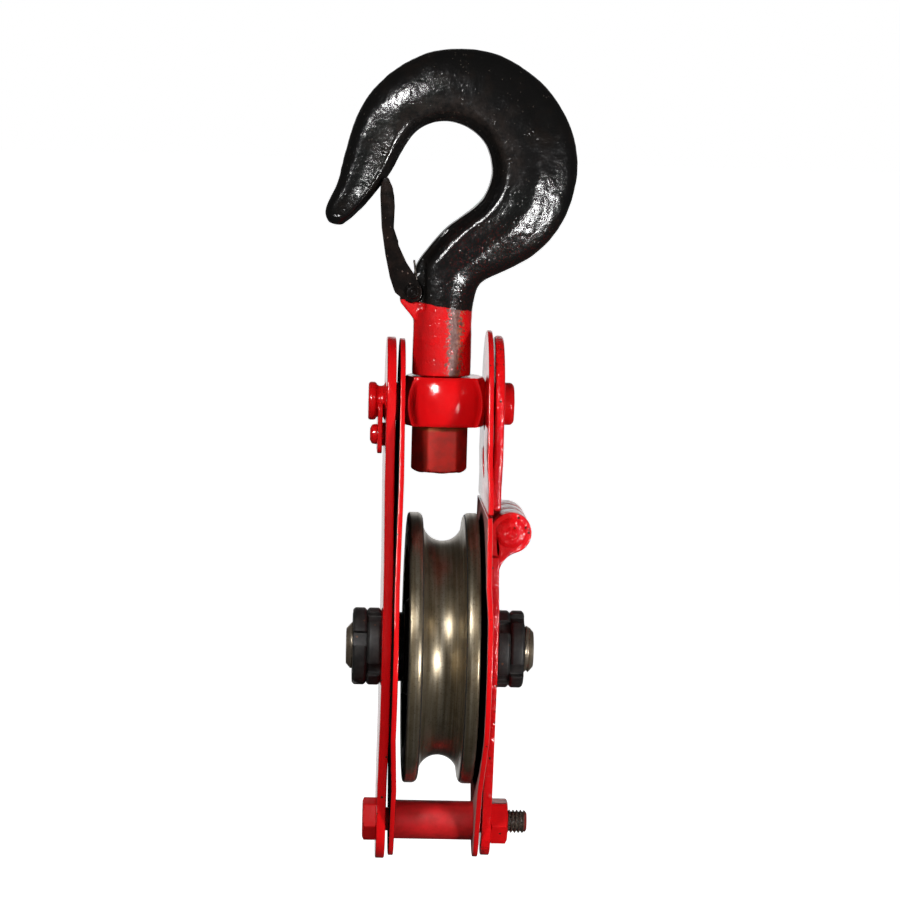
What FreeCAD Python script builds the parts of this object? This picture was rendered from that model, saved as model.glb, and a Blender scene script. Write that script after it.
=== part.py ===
import FreeCAD, Part
import math
import os

# Snatch block: one grooved sheave between two side frames that hang from a swivel hook.
# One side frame is a single strap and cheek.  The other is split: its upper link swings
# out on a rolled knuckle so that a rope can be laid over the sheave without threading it.
#
# Frame: origin at the top of the hook's bowl, on the shank's axis.  +Z up, +X towards the
# side that opens, Y across the straps.  All lengths are millimetres.

V = FreeCAD.Vector
X_AXIS = V(1, 0, 0)
Y_AXIS = V(0, 1, 0)
Z_AXIS = V(0, 0, 1)

# ---------------------------------------------------------------- driving dimensions
axle_z = -223.0              # sheave axis below the hook's bowl
trunnion_z = axle_z + 104.7
tie_z = axle_z - 74.4
pin_z = axle_z + 52.6        # side link's hinge
frame_x = 1.6                # middle plane of the frame, off the shank's axis
sheave_x = frame_x + 0.8     # middle plane of the sheave, and of the axle

cheek_thickness = 2.2
strap_thickness = 3.9
strap_half_width = 28.8
strap_end_radius = 14.6
left_strap_top_radius = 27.3
left_strap_end_radius = 16.7
cheek_top_radius = 31.0
left_cheek_top_radius = 26.8
cheek_disc_radius = 59.5
cheek_end_radius = 15.4
split_z = axle_z + 61.4      # height where the opening side is divided
split_gap = 1.2
lug_rise = 3.0               # the side link's lug runs this far above the split

# Distance of each plate's inner face from the frame's middle plane, by height.
axle_cheek = 18.2
axle_strap = axle_cheek + cheek_thickness
top_cheek = 17.2
top_left_strap = 21.0
tie_cheek = 16.9
tie_left_strap = 20.7
tie_right_strap = 20.2
knuckle_cheek = 17.4
knuckle_strap = 19.9
link_top_cheek = 17.2
link_top_strap = 20.3

# Heights where the plates are cranked, each from the feature it is named for.
crank_below_trunnion = 30.0
crank_from_axle = 32.0
crank_above_tie = 18.0
right_crank_below_pin = 20.0
right_crank_above_axle = 20.0
link_crank_below_trunnion = 22.0
link_crank_above_split = 10.0

trunnion_radius_left = 8.15
trunnion_radius_right = 9.05
trunnion_neck_radius = 6.5
running_gap = 0.07           # radial, round every pivot

stem_radius = 8.0
shoulder_gap = 0.3
crosshead_above = 11.35      # height over the trunnions' axis
crosshead_below = 9.5
crosshead_half_length = 16.8
crosshead_half_depth = 17.4
crosshead_top = trunnion_z + crosshead_above
crosshead_bottom = trunnion_z - crosshead_below
hook_nut_height = 19.4
nut_top = crosshead_bottom - shoulder_gap
nut_bottom = nut_top - hook_nut_height

sheave_radius = 57.5
sheave_half_width = 14.75
groove_radius = 8.5
groove_depth = 12.0
hub_half_width = 15.25
bush_radius = 14.0
axle_radius = 10.0
collar_radius = 14.7
collar_gap = 0.3

round_nut_radius = 16.4
round_nut_height = 6.0
notch_width = 6.0
notch_depth = 2.6

tie_radius = 5.0
tie_spacer_radius = 8.3
tie_head_x = frame_x - (tie_left_strap + strap_thickness)
tie_nut_x = frame_x + tie_right_strap + strap_thickness
tie_nut_height = 7.5
tie_bolt_past = 8.3          # length of thread beyond the nut

hinge_pin_radius = 4.6
knuckle_radius = 8.6
knuckle_x = knuckle_strap + knuckle_radius
knuckle_half_length = 25.0
lug_half_width = 8.7
lug_side_gap = 0.3

latch_x = -13.2
latch_z = -71.6
latch_sheet = 1.2
latch_inner_half_width = 6.3
latch_rivet_radius = 2.0
ear_half = 5.8               # half width of the ear that carries the latch
spring_coil_inner = 3.9
spring_wire_radius = 0.45
spring_coil_radius = 3.1
spring_recess_radius = 4.2

keeper_washer_thickness = 1.2
keeper_thickness = 2.0
keeper_inner = top_left_strap + strap_thickness + keeper_washer_thickness
keeper_outer = keeper_inner + keeper_thickness
keeper_screw_z = trunnion_z - 14.1
keeper_screw_radius = 2.5

plate_margin = 40.0          # plate profiles run this far past the plates, up and down
top_z = trunnion_z + plate_margin
bottom_z = tie_z - plate_margin
past = 50.0                  # holes are cut this far along their axis
beyond = 90.0                # plate profiles are this wide each way before they are trimmed
clear = 1.0                  # short cutters start and end this far outside what they cut
overshoot = 0.1              # trimming cones and sleeves pass the corners they leave by this


# ---------------------------------------------------------------- building blocks
def box(x0, x1, y0, y1, z0, z1):
    return Part.makeBox(x1 - x0, y1 - y0, z1 - z0, V(x0, y0, z0))


def cylinder_x(radius, x0, x1, y, z):
    return Part.makeCylinder(radius, x1 - x0, V(x0, y, z), X_AXIS)


def cylinder_y(radius, y0, y1, x, z):
    return Part.makeCylinder(radius, y1 - y0, V(x, y0, z), Y_AXIS)


def cylinder_z(radius, z0, z1, x, y):
    return Part.makeCylinder(radius, z1 - z0, V(x, y, z0), Z_AXIS)


def prism(points, along):
    """Straight-sided solid over a closed loop of points."""
    wire = Part.makePolygon(points + [points[0]])
    return Part.Face(wire).extrude(along)


def turned_x(profile, y, z):
    """Solid of revolution about an X axis, from (x, radius) points that end on the axis or a bore."""
    points = [V(x, y, z + radius) for x, radius in profile]
    wire = Part.makePolygon(points + [points[0]])
    return Part.Face(wire).revolve(V(0, y, z), X_AXIS, 360)


def line(a, b):
    return Part.LineSegment(a, b).toShape()


def arc(a, middle, b):
    return Part.Arc(a, middle, b).toShape()


def tapered_outline(circles, x0, x1):
    """Plate blank: round ends of the given (height, radius), joined by their outer tangents."""
    solids = [cylinder_x(radius, x0, x1, 0, z) for z, radius in circles]
    for (z_up, r_up), (z_low, r_low) in zip(circles, circles[1:]):
        tilt = math.asin((r_low - r_up) / (z_up - z_low))
        y_up = r_up * math.cos(tilt)
        y_low = r_low * math.cos(tilt)
        up = z_up + r_up * math.sin(tilt)
        low = z_low + r_low * math.sin(tilt)
        corners = [V(x0, -y_up, up), V(x0, y_up, up), V(x0, y_low, low), V(x0, -y_low, low)]
        solids.append(prism(corners, V(x1 - x0, 0, 0)))
    return solids[0].multiFuse(solids[1:]).removeSplitter()


def cranked_plate(side, stations, thickness, blank):
    """Plate whose inner face passes through (height, distance) stations, cut to a blank's outline."""
    inner = [V(frame_x + side * x, -beyond, z) for z, x in stations]
    outer = [V(frame_x + side * (x + thickness), -beyond, z) for z, x in reversed(stations)]
    return prism(inner + outer, V(0, 2 * beyond, 0)).common(blank)


def hexagon_x(across_flats, x0, x1, y, z, turn, chamfered_ends):
    """Hexagon along X with a turned chamfer, so that its corners fall away at the named ends."""
    corner = across_flats / math.sqrt(3)
    points = []
    for i in range(6):
        angle = math.radians(turn + 60 * i)
        points.append(V(x0, y + corner * math.cos(angle), z + corner * math.sin(angle)))
    body = prism(points, V(x1 - x0, 0, 0))
    chamfer_slope = 0.28
    edge_fall = 0.45
    face_inset = 0.3
    fall = chamfer_slope * (corner - across_flats / 2) + edge_fall
    face_radius = across_flats / 2 - face_inset
    low = x0 + fall if "low" in chamfered_ends else x0
    high = x1 - fall if "high" in chamfered_ends else x1
    wide = corner + overshoot
    profile = [(x0, 0), (x0, face_radius if low > x0 else wide), (low, wide),
               (high, wide), (x1, face_radius if high < x1 else wide), (x1, 0)]
    kept = [profile[0]]
    for point in profile[1:]:
        if point != kept[-1]:
            kept.append(point)
    return body.common(turned_x(kept, y, z))


def ring(radius_out, radius_in, x0, x1, y, z):
    return cylinder_x(radius_out, x0, x1, y, z).cut(cylinder_x(radius_in, x0 - clear, x1 + clear, y, z))


# ---------------------------------------------------------------- hook and what turns with it
def half_section(side, inner, outer, half_inner, half_outer, squareness):
    """Curve round one side of a hook section: inner and outer are (x, z), the halves its thickness."""
    count = 8
    points = [V(outer[0], 0, outer[1])]
    for i in range(1, count):
        angle = math.pi * i / count
        across = math.copysign(abs(math.cos(angle)) ** (2 / squareness), math.cos(angle))
        rise = math.sin(angle) ** (2 / squareness)
        share = (across + 1) / 2
        half = half_outer * share + half_inner * (1 - share)
        x = inner[0] + (outer[0] - inner[0]) * share
        z = inner[1] + (outer[1] - inner[1]) * share
        points.append(V(x, side * half * rise, z))
    points.append(V(inner[0], 0, inner[1]))
    curve = Part.BSplineCurve()
    curve.interpolate(Points=points, Parameters=[float(i) for i in range(count + 1)],
                      InitialTangent=V(0, side, 0), FinalTangent=V(0, -side, 0))
    return curve


def refined(stations, parts):
    """The same run of stations with more between them, on smooth curves through the given ones."""
    rows = [inner + outer + (half_inner, half_outer, squareness)
            for inner, outer, half_inner, half_outer, squareness in stations]
    places = [0.0]
    for a, b in zip(rows, rows[1:]):
        run_x = (a[0] + a[2] - b[0] - b[2]) / 2
        run_z = (a[1] + a[3] - b[1] - b[3]) / 2
        places.append(places[-1] + math.hypot(run_x, run_z))
    last = len(rows) - 1
    slopes = []
    for i in range(len(rows)):
        low = max(i - 1, 0)
        high = min(i + 1, last)
        slopes.append([(q - p) / (places[high] - places[low]) for p, q in zip(rows[low], rows[high])])
    result = []
    for i in range(last):
        span = places[i + 1] - places[i]
        for step in range(parts):
            t = step / parts
            ease = t * t * (3 - 2 * t)
            leave = span * t * (1 - t) ** 2
            arrive = span * t * t * (1 - t)
            row = []
            for p, q, slope_p, slope_q in zip(rows[i], rows[i + 1], slopes[i], slopes[i + 1]):
                row.append(p + (q - p) * ease + leave * slope_p - arrive * slope_q)
            result.append(row)
    result.append(list(rows[-1]))
    return [((r[0], r[1]), (r[2], r[3]), r[4], r[5], r[6]) for r in result]


def skin(curves):
    """Smooth surface through curves that all have the same knots."""
    rows = [curve.getPoles() for curve in curves]
    places = [0.0]
    for a, b in zip(rows, rows[1:]):
        places.append(places[-1] + sum(p.distanceToPoint(q) for p, q in zip(a, b)) / len(a))
    columns = []
    for j in range(len(rows[0])):
        column = Part.BSplineCurve()
        column.interpolate(Points=[row[j] for row in rows], Parameters=places)
        columns.append(column)
    along = columns[0]
    round_it = curves[0]
    poles = [[column.getPole(i + 1) for column in columns] for i in range(along.NbPoles)]
    surface = Part.BSplineSurface()
    surface.buildFromPolesMultsKnots(poles, along.getMultiplicities(), round_it.getMultiplicities(),
                                     along.getKnots(), round_it.getKnots(), False, False,
                                     along.Degree, round_it.Degree)
    return surface


def skinned_solid(stations):
    """Solid through the stations: a smooth side each way of the XZ plane and a flat cap at each end."""
    surfaces = [skin([half_section(side, *station) for station in stations]) for side in (-1, 1)]
    caps = []
    for end in surfaces[0].bounds()[:2]:
        edges = [surface.uIso(end).toShape() for surface in surfaces]
        caps.append(Part.Face(Part.Wire(Part.__sortEdges__(edges))))
    shell = Part.Shell([surface.toShape() for surface in surfaces] + caps)
    shell.sewShape()
    return Part.Solid(Part.Shell(shell.Faces))


def make_hook():
    shoulder_z = crosshead_top + shoulder_gap
    # From the shank, round the bowl and out to the nose: inner edge, outer edge, half
    # thickness at each of them, and how square the section is (2 is an ellipse).
    stations = [
        ((-12.4, shoulder_z), (12.4, shoulder_z), 12.4, 12.4, 2.0),
        ((-12.4, -96.0), (12.4, -96.0), 12.4, 12.4, 2.0),
        ((-12.4, -84.0), (12.4, -84.0), 12.4, 12.4, 2.0),
        ((-12.6, -73.0), (13.0, -74.5), 12.4, 12.0, 2.05),
        ((-12.2, -61.5), (16.0, -67.3), 12.6, 11.0, 2.15),
        ((-7.3, -53.5), (24.5, -62.6), 13.2, 10.0, 2.3),
        ((0.4, -44.6), (34.0, -57.6), 13.8, 9.2, 2.4),
        ((8.6, -38.2), (43.5, -49.6), 14.2, 8.8, 2.45),
        ((15.4, -31.6), (51.2, -37.2), 14.2, 8.6, 2.45),
        ((18.9, -21.8), (55.0, -20.0), 14.2, 8.6, 2.45),
        ((16.8, -10.8), (51.9, -1.4), 14.2, 8.6, 2.45),
        ((10.6, -3.6), (39.3, 17.0), 14.0, 8.6, 2.45),
        ((1.4, -0.05), (18.0, 29.2), 13.4, 8.6, 2.4),
        ((-7.8, -1.3), (-7.0, 29.1), 12.6, 8.4, 2.35),
        ((-14.2, -5.6), (-26.0, 18.6), 11.4, 8.4, 2.3),
        ((-18.8, -12.4), (-37.0, 4.2), 10.4, 8.2, 2.25),
        ((-23.2, -21.4), (-42.6, -13.0), 9.6, 7.9, 2.25),
        ((-28.4, -28.8), (-45.6, -26.2), 8.8, 7.4, 2.2),
        ((-34.4, -36.2), (-49.6, -35.2), 7.8, 6.6, 2.15),
        ((-39.6, -41.5), (-50.6, -39.9), 6.0, 5.2, 2.05),
        ((-43.6, -44.6), (-48.9, -43.7), 3.2, 2.9, 2.0),
    ]
    forging = skinned_solid(refined(stations, 2))
    stem_short = 1.0             # the stem stops inside the nut
    stem = cylinder_z(stem_radius, nut_bottom + stem_short, shoulder_z, 0, 0)
    ear_outline = [V(-8.0, -ear_half, -86.0), V(-12.3, -ear_half, -83.2), V(-18.2, -ear_half, -76.2),
                   V(-18.4, -ear_half, -73.6), V(-16.6, -ear_half, -68.0), V(-12.0, -ear_half, -64.5),
                   V(-8.0, -ear_half, -64.0)]
    ear = prism(ear_outline, V(0, 2 * ear_half, 0))
    body = forging.fuse(stem)
    # Flats on both sides of the neck let the latch's sides swing past it.
    front_x = -20.0
    flat_x = -7.6
    flat_low = -79.5
    flat_high = -50.0
    for side in (-1, 1):
        y_low, y_high = sorted((side * ear_half, side * past))
        body = body.cut(box(front_x, flat_x, y_low, y_high, flat_low, flat_high))
    body = body.fuse(ear)
    # The latch spring's coils and legs sit in a shallow recess each side of the ear.
    leg_x = -15.4
    leg_top = -62.0
    leg_drop = 0.6
    recess_end = 1.5 * ear_half
    for side in (-1, 1):
        y_low, y_high = sorted((side * spring_coil_inner, side * recess_end))
        body = body.cut(cylinder_y(spring_recess_radius, y_low, y_high, latch_x, latch_z))
        body = body.cut(box(front_x, leg_x, y_low, y_high, latch_z - leg_drop, leg_top))
    return body.cut(cylinder_y(latch_rivet_radius, -past, past, latch_x, latch_z))


def make_hook_nut():
    """Hexagon nut with its lower corners turned away."""
    across_flats = 21.0
    corner = across_flats / math.sqrt(3)
    wide = corner + overshoot
    face_inset = 0.4
    face_radius = across_flats / 2 - face_inset
    turn = 5
    points = []
    for i in range(6):
        angle = math.radians(turn + 60 * i)
        points.append(V(corner * math.cos(angle), corner * math.sin(angle), nut_bottom))
    body = prism(points, V(0, 0, hook_nut_height))
    fall = 1.3
    cone = Part.makeCone(face_radius, wide, fall, V(0, 0, nut_bottom), Z_AXIS)
    sleeve = cylinder_z(wide, nut_bottom + fall, nut_top, 0, 0)
    body = body.common(cone.fuse(sleeve))
    return body.cut(cylinder_z(stem_radius, nut_bottom - clear, nut_top + clear, 0, 0))


def latch_side(y0, y1):
    """One side of the latch channel, seen along Y: round at the rivet, slim, round at the tip."""
    back = [V(-18.2, y0, -73.9), V(-20.6, y0, -72.0), V(-22.6, y0, -66.4), V(-24.8, y0, -56.6),
            V(-26.6, y0, -45.2), V(-27.5, y0, -31.6), V(-27.4, y0, -26.4), V(-26.4, y0, -24.0)]
    front = [V(-24.4, y0, -24.2), V(-22.5, y0, -28.4), V(-21.8, y0, -34.0), V(-21.7, y0, -45.0),
             V(-19.4, y0, -52.4), V(-16.0, y0, -59.4), V(-12.0, y0, -65.2)]
    foot_radius = 4.4
    foot_back = 0.3
    foot = cylinder_y(foot_radius, y0, y1, latch_x - foot_back, latch_z)
    outline = back + front + [V(-10.2, y0, -69.0), V(-13.4, y0, -76.1)]
    return prism(outline, V(0, y1 - y0, 0)).fuse(foot)


def make_latch():
    inner = latch_inner_half_width
    outer = inner + latch_sheet
    near = latch_side(-outer, -inner)
    far = latch_side(inner, outer)
    # The web joins the two sides along the throat, from the tip down to the neck.
    web_edge = [(-23.3, -27.0), (-22.2, -31.4), (-21.8, -36.0), (-21.7, -45.0), (-19.9, -50.9)]
    web_drop = 0.3
    face = [V(x, -inner, z) for x, z in web_edge]
    rear = [V(x - latch_sheet, -inner, z - web_drop) for x, z in reversed(web_edge)]
    web = prism(face + rear, V(0, 2 * inner, 0))
    body = near.fuse(far).fuse(web)
    return body.cut(cylinder_y(latch_rivet_radius + running_gap, -past, past, latch_x, latch_z))


def make_latch_rivet():
    side_gap = 0.3
    head_radius = 3.0
    crown_radius = 2.1
    head_height = 1.3
    face = latch_inner_half_width + latch_sheet + side_gap
    body = cylinder_y(latch_rivet_radius, -face, face, latch_x, latch_z)
    for side in (-1, 1):
        foot = V(latch_x, side * face, latch_z)
        head = Part.makeCone(head_radius, crown_radius, head_height, foot, V(0, side, 0))
        body = body.fuse(head)
    return body


def make_latch_spring():
    """Torsion spring: two turns each side of the ear, with legs to the neck and the latch."""
    turn_spacing = 1.85          # in wire radii, so that neighbouring turns join
    leg_back = 4.9
    leg_rise = 11.5
    bend_extra = 0.2
    pitch = turn_spacing * spring_wire_radius
    inner_coil = spring_coil_inner + spring_wire_radius
    outer_coil = inner_coil + pitch
    bend_x = latch_x - leg_back
    bend_z = latch_z + leg_rise
    bend_half = outer_coil + bend_extra
    turns = [cylinder_y(spring_wire_radius, -bend_half, bend_half, bend_x, bend_z)]
    for side in (-1, 1):
        for y in (inner_coil, outer_coil):
            centre = V(latch_x, side * y, latch_z)
            turns.append(Part.makeTorus(spring_coil_radius, spring_wire_radius, centre, Y_AXIS))
        start = V(latch_x - spring_coil_radius, side * outer_coil, latch_z)
        run = V(bend_x, side * outer_coil, bend_z).sub(start)
        turns.append(Part.makeCylinder(spring_wire_radius, run.Length, start, run))
    return turns[0].multiFuse(turns[1:])


# ---------------------------------------------------------------- crosshead
def make_crosshead():
    """Block on the hook's stem, its ends turned down to cones, with a trunnion each side."""
    half = crosshead_half_length
    low_x = frame_x - half
    high_x = frame_x + half
    corner_radius = 2.0
    block = box(low_x, high_x, -crosshead_half_depth, crosshead_half_depth,
                crosshead_bottom, crosshead_top)
    long_edges = [edge for edge in block.Edges if abs(edge.tangentAt(edge.FirstParameter).x) > 0.9]
    block = block.makeFillet(corner_radius, long_edges)
    end_radius = 10.2
    cone_slope = 0.577
    cone_height = 12.0
    wide = end_radius + cone_height
    run = (wide - end_radius) * cone_slope
    cone = [(low_x, 0), (low_x, end_radius), (low_x + run, wide),
            (high_x - run, wide), (high_x, end_radius), (high_x, 0)]
    block = block.common(turned_x(cone, 0, trunnion_z))
    # The left trunnion has a groove for the keeper and a head outside it.
    root_overlap = 0.5
    side_gap = 0.4
    neck_fall = 0.4
    keeper_gap = 0.15
    head_length = 3.9
    bevel_start = 0.7
    bevel_end = 1.2
    bevel_drop = 0.3
    root = low_x + root_overlap
    shoulder = frame_x - (top_left_strap + strap_thickness + side_gap)
    neck_end = frame_x - keeper_outer - keeper_gap
    head_end = neck_end - head_length
    edge = 0.6
    radius = trunnion_radius_left
    left = [(root, 0), (root, radius), (shoulder, radius), (shoulder - neck_fall, trunnion_neck_radius),
            (neck_end, trunnion_neck_radius), (neck_end - bevel_start, radius - bevel_drop),
            (neck_end - bevel_end, radius),
            (head_end + edge, radius), (head_end, radius - edge), (head_end, 0)]
    # The right trunnion is plain, with a chamfered end.
    right_reach = 29.4
    root = high_x - root_overlap
    end_x = frame_x + right_reach
    chamfer = 1.2
    radius = trunnion_radius_right
    right = [(root, 0), (root, radius), (end_x - chamfer, radius), (end_x, radius - chamfer), (end_x, 0)]
    body = block.fuse(turned_x(left, 0, trunnion_z)).fuse(turned_x(right, 0, trunnion_z))
    return body.cut(cylinder_z(stem_radius + running_gap, trunnion_z - past, trunnion_z + past, 0, 0))


# ---------------------------------------------------------------- side plates
def strap_blank(top_radius=strap_half_width, end_radius=strap_end_radius):
    circles = [(trunnion_z, top_radius), (axle_z, strap_half_width), (tie_z, end_radius)]
    return tapered_outline(circles, -past, past)


def cheek_blank(top_radius=cheek_top_radius):
    circles = [(trunnion_z, top_radius), (axle_z, cheek_disc_radius), (tie_z, cheek_end_radius)]
    return tapered_outline(circles, -past, past)


def axle_and_tie_holes():
    axle_hole = cylinder_x(axle_radius, -past, past, 0, axle_z)
    tie_hole = cylinder_x(tie_radius, -past, past, 0, tie_z)
    return axle_hole.fuse(tie_hole)


def left_profile(top, axle, tie):
    return [(top_z, top), (trunnion_z - crank_below_trunnion, top), (axle_z + crank_from_axle, axle),
            (axle_z - crank_from_axle, axle), (tie_z + crank_above_tie, tie), (bottom_z, tie)]


def right_profile(knuckle, axle, tie):
    return [(top_z, knuckle), (pin_z - right_crank_below_pin, knuckle),
            (axle_z + right_crank_above_axle, axle), (axle_z - crank_from_axle, axle),
            (tie_z + crank_above_tie, tie), (bottom_z, tie)]


def link_profile(top, bottom):
    return [(top_z, top), (trunnion_z - link_crank_below_trunnion, top),
            (split_z + link_crank_above_split, bottom), (bottom_z, bottom)]


def make_left_cheek():
    profile = left_profile(top_cheek, axle_cheek, tie_cheek)
    plate = cranked_plate(-1, profile, cheek_thickness, cheek_blank(left_cheek_top_radius))
    hole = cylinder_x(trunnion_radius_left + running_gap, -past, 0, 0, trunnion_z)
    return plate.cut(axle_and_tie_holes()).cut(hole)


def make_left_strap():
    profile = left_profile(top_left_strap, axle_strap, tie_left_strap)
    blank = strap_blank(left_strap_top_radius, left_strap_end_radius)
    plate = cranked_plate(-1, profile, strap_thickness, blank)
    hole = cylinder_x(trunnion_radius_left + running_gap, -past, 0, 0, trunnion_z)
    screw_hole = cylinder_x(keeper_screw_radius, -past, 0, 0, keeper_screw_z)
    return plate.cut(axle_and_tie_holes()).cut(hole).cut(screw_hole)


def make_right_cheek():
    profile = right_profile(knuckle_cheek, axle_cheek, tie_cheek)
    plate = cranked_plate(1, profile, cheek_thickness, cheek_blank())
    above = box(-past, past, -beyond, beyond, split_z - split_gap / 2, top_z)
    return plate.cut(axle_and_tie_holes()).cut(above)


def knuckle_outline(y):
    """Strap end rolled round the hinge pin, with a hollow blend on its outer side."""
    blend = 10.0
    x_in = frame_x + knuckle_strap
    x_out = x_in + strap_thickness
    centre_x = frame_x + knuckle_x
    blend_x = x_out + blend
    drop = math.sqrt((knuckle_radius + blend) ** 2 - (blend_x - centre_x) ** 2)
    blend_z = pin_z - drop
    meet = knuckle_radius / (knuckle_radius + blend)
    meet_x = centre_x + (blend_x - centre_x) * meet
    meet_z = pin_z + (blend_z - pin_z) * meet
    start_angle = math.pi
    end_angle = math.atan2(meet_z - blend_z, meet_x - blend_x)
    middle_angle = (start_angle + end_angle) / 2
    blend_middle = V(blend_x + blend * math.cos(middle_angle), y, blend_z + blend * math.sin(middle_angle))
    foot_drop = 6.0
    foot_z = blend_z - foot_drop
    roll_angle = 0.6
    roll_middle = V(centre_x + knuckle_radius * math.cos(roll_angle), y,
                    pin_z + knuckle_radius * math.sin(roll_angle))
    edges = [
        line(V(x_in, y, foot_z), V(x_out, y, foot_z)),
        line(V(x_out, y, foot_z), V(x_out, y, blend_z)),
        arc(V(x_out, y, blend_z), blend_middle, V(meet_x, y, meet_z)),
        arc(V(meet_x, y, meet_z), roll_middle, V(x_in, y, pin_z)),
        line(V(x_in, y, pin_z), V(x_in, y, foot_z)),
    ]
    return Part.Face(Part.Wire(edges))


def make_right_strap():
    eye_gap = 0.4
    profile = right_profile(knuckle_strap, axle_strap, tie_right_strap)
    plate = cranked_plate(1, profile, strap_thickness, strap_blank())
    knuckle_depth = 10.0
    plate = plate.cut(box(-past, past, -beyond, beyond, pin_z - knuckle_depth, top_z))
    length = 2 * knuckle_half_length
    knuckle = knuckle_outline(-knuckle_half_length).extrude(V(0, length, 0))
    body = plate.fuse(knuckle)
    slot_half = lug_half_width + lug_side_gap
    centre_x = frame_x + knuckle_x
    slot = cylinder_y(knuckle_radius + eye_gap, -slot_half, slot_half, centre_x, pin_z)
    above_eye = box(frame_x, centre_x, -slot_half, slot_half, pin_z, split_z + lug_rise)
    slot = slot.fuse(above_eye)
    body = body.cut(slot)
    body = body.cut(cylinder_y(hinge_pin_radius, -past, past, centre_x, pin_z))
    return body.cut(axle_and_tie_holes())


def trunnion_slot():
    """Long hole in the side link: the trunnion lies at its top, and the room below lets the link swing."""
    room = 2.2
    radius = trunnion_radius_right + running_gap
    upper = cylinder_x(radius, 0, past, 0, trunnion_z)
    lower = cylinder_x(radius, 0, past, 0, trunnion_z - room)
    middle = box(0, past, -radius, radius, trunnion_z - room, trunnion_z)
    return upper.fuse(lower).fuse(middle)


def below_split():
    return box(-past, past, -beyond, beyond, bottom_z, split_z + split_gap / 2)


def make_link_strap():
    plate = cranked_plate(1, link_profile(link_top_strap, knuckle_strap), strap_thickness, strap_blank())
    plate = plate.cut(below_split())
    centre_x = frame_x + knuckle_x
    x_in = frame_x + knuckle_strap
    lug_top = split_z + lug_rise
    lug = box(x_in, x_in + strap_thickness, -lug_half_width, lug_half_width, pin_z, lug_top)
    eye = cylinder_y(knuckle_radius, -lug_half_width, lug_half_width, centre_x, pin_z)
    body = plate.fuse(lug).fuse(eye)
    bore = cylinder_y(hinge_pin_radius + running_gap, -past, past, centre_x, pin_z)
    return body.cut(bore).cut(trunnion_slot())


def make_link_cheek():
    relief_radius = 6.75
    relief_drop = 25.0
    inner = knuckle_strap - cheek_thickness
    plate = cranked_plate(1, link_profile(link_top_cheek, inner), cheek_thickness, cheek_blank())
    relief_hole = cylinder_x(relief_radius, 0, past, 0, trunnion_z - relief_drop)
    return plate.cut(below_split()).cut(trunnion_slot()).cut(relief_hole)


def make_hinge_pin():
    centre_x = frame_x + knuckle_x
    body = cylinder_y(hinge_pin_radius, -knuckle_half_length, knuckle_half_length, centre_x, pin_z)
    head_radius = 6.6
    head_height = 1.1
    dimple_radius = 3.4
    for side in (-1, 1):
        face = side * knuckle_half_length
        foot = V(centre_x, face, pin_z)
        head = Part.makeCone(head_radius, hinge_pin_radius, head_height, foot, V(0, side, 0))
        dimple = Part.makeSphere(dimple_radius, V(centre_x, face + side * dimple_radius, pin_z))
        body = body.fuse(head).cut(dimple)
    return body


# ---------------------------------------------------------------- sheave and its axle
def make_sheave():
    """Grooved wheel, turned all over, with thinned sides between hub and rim."""
    rim = sheave_radius
    half = sheave_half_width
    lip = 2.5
    edge = 1.0
    groove_centre = rim - groove_depth + groove_radius
    groove_flare = 0.2
    lip_x = groove_radius + groove_flare + lip
    diagonal = math.sqrt(0.5)
    recess_x = 10.5
    hub_edge = 21.0
    rim_edge = 42.0
    slope = 1.5

    def point(x, radius):
        return V(sheave_x + x, 0, axle_z + radius)

    edges = []
    for side in (-1, 1):
        part_edges = [
            line(point(side * hub_half_width, bush_radius), point(side * hub_half_width, hub_edge - slope)),
            line(point(side * hub_half_width, hub_edge - slope), point(side * recess_x, hub_edge + slope)),
            line(point(side * recess_x, hub_edge + slope), point(side * recess_x, rim_edge - slope)),
            line(point(side * recess_x, rim_edge - slope), point(side * half, rim_edge + slope)),
            line(point(side * half, rim_edge + slope), point(side * half, rim - edge)),
            arc(point(side * half, rim - edge),
                point(side * (half - edge + edge * diagonal), rim - edge + edge * diagonal),
                point(side * (half - edge), rim)),
            line(point(side * (half - edge), rim), point(side * lip_x, rim)),
            arc(point(side * lip_x, rim),
                point(side * (lip_x - lip * diagonal), rim - lip + lip * diagonal),
                point(side * (lip_x - lip), rim - lip)),
            line(point(side * (lip_x - lip), rim - lip), point(side * groove_radius, groove_centre)),
        ]
        edges.extend(part_edges)
    edges.append(arc(point(-groove_radius, groove_centre), point(0, groove_centre - groove_radius),
                     point(groove_radius, groove_centre)))
    edges.append(line(point(-hub_half_width, bush_radius), point(hub_half_width, bush_radius)))
    wire = Part.Wire(Part.__sortEdges__(edges))
    return Part.Face(wire).revolve(V(0, 0, axle_z), X_AXIS, 360)


def make_sheave_bush():
    low_x = sheave_x - hub_half_width
    high_x = sheave_x + hub_half_width
    return ring(bush_radius, axle_radius + running_gap, low_x, high_x, 0, axle_z)


def make_collar(side):
    cheek_face = frame_x + side * axle_cheek
    hub_face = sheave_x + side * (hub_half_width + collar_gap)
    low_x, high_x = sorted((cheek_face, hub_face))
    return ring(collar_radius, axle_radius, low_x, high_x, 0, axle_z)


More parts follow.
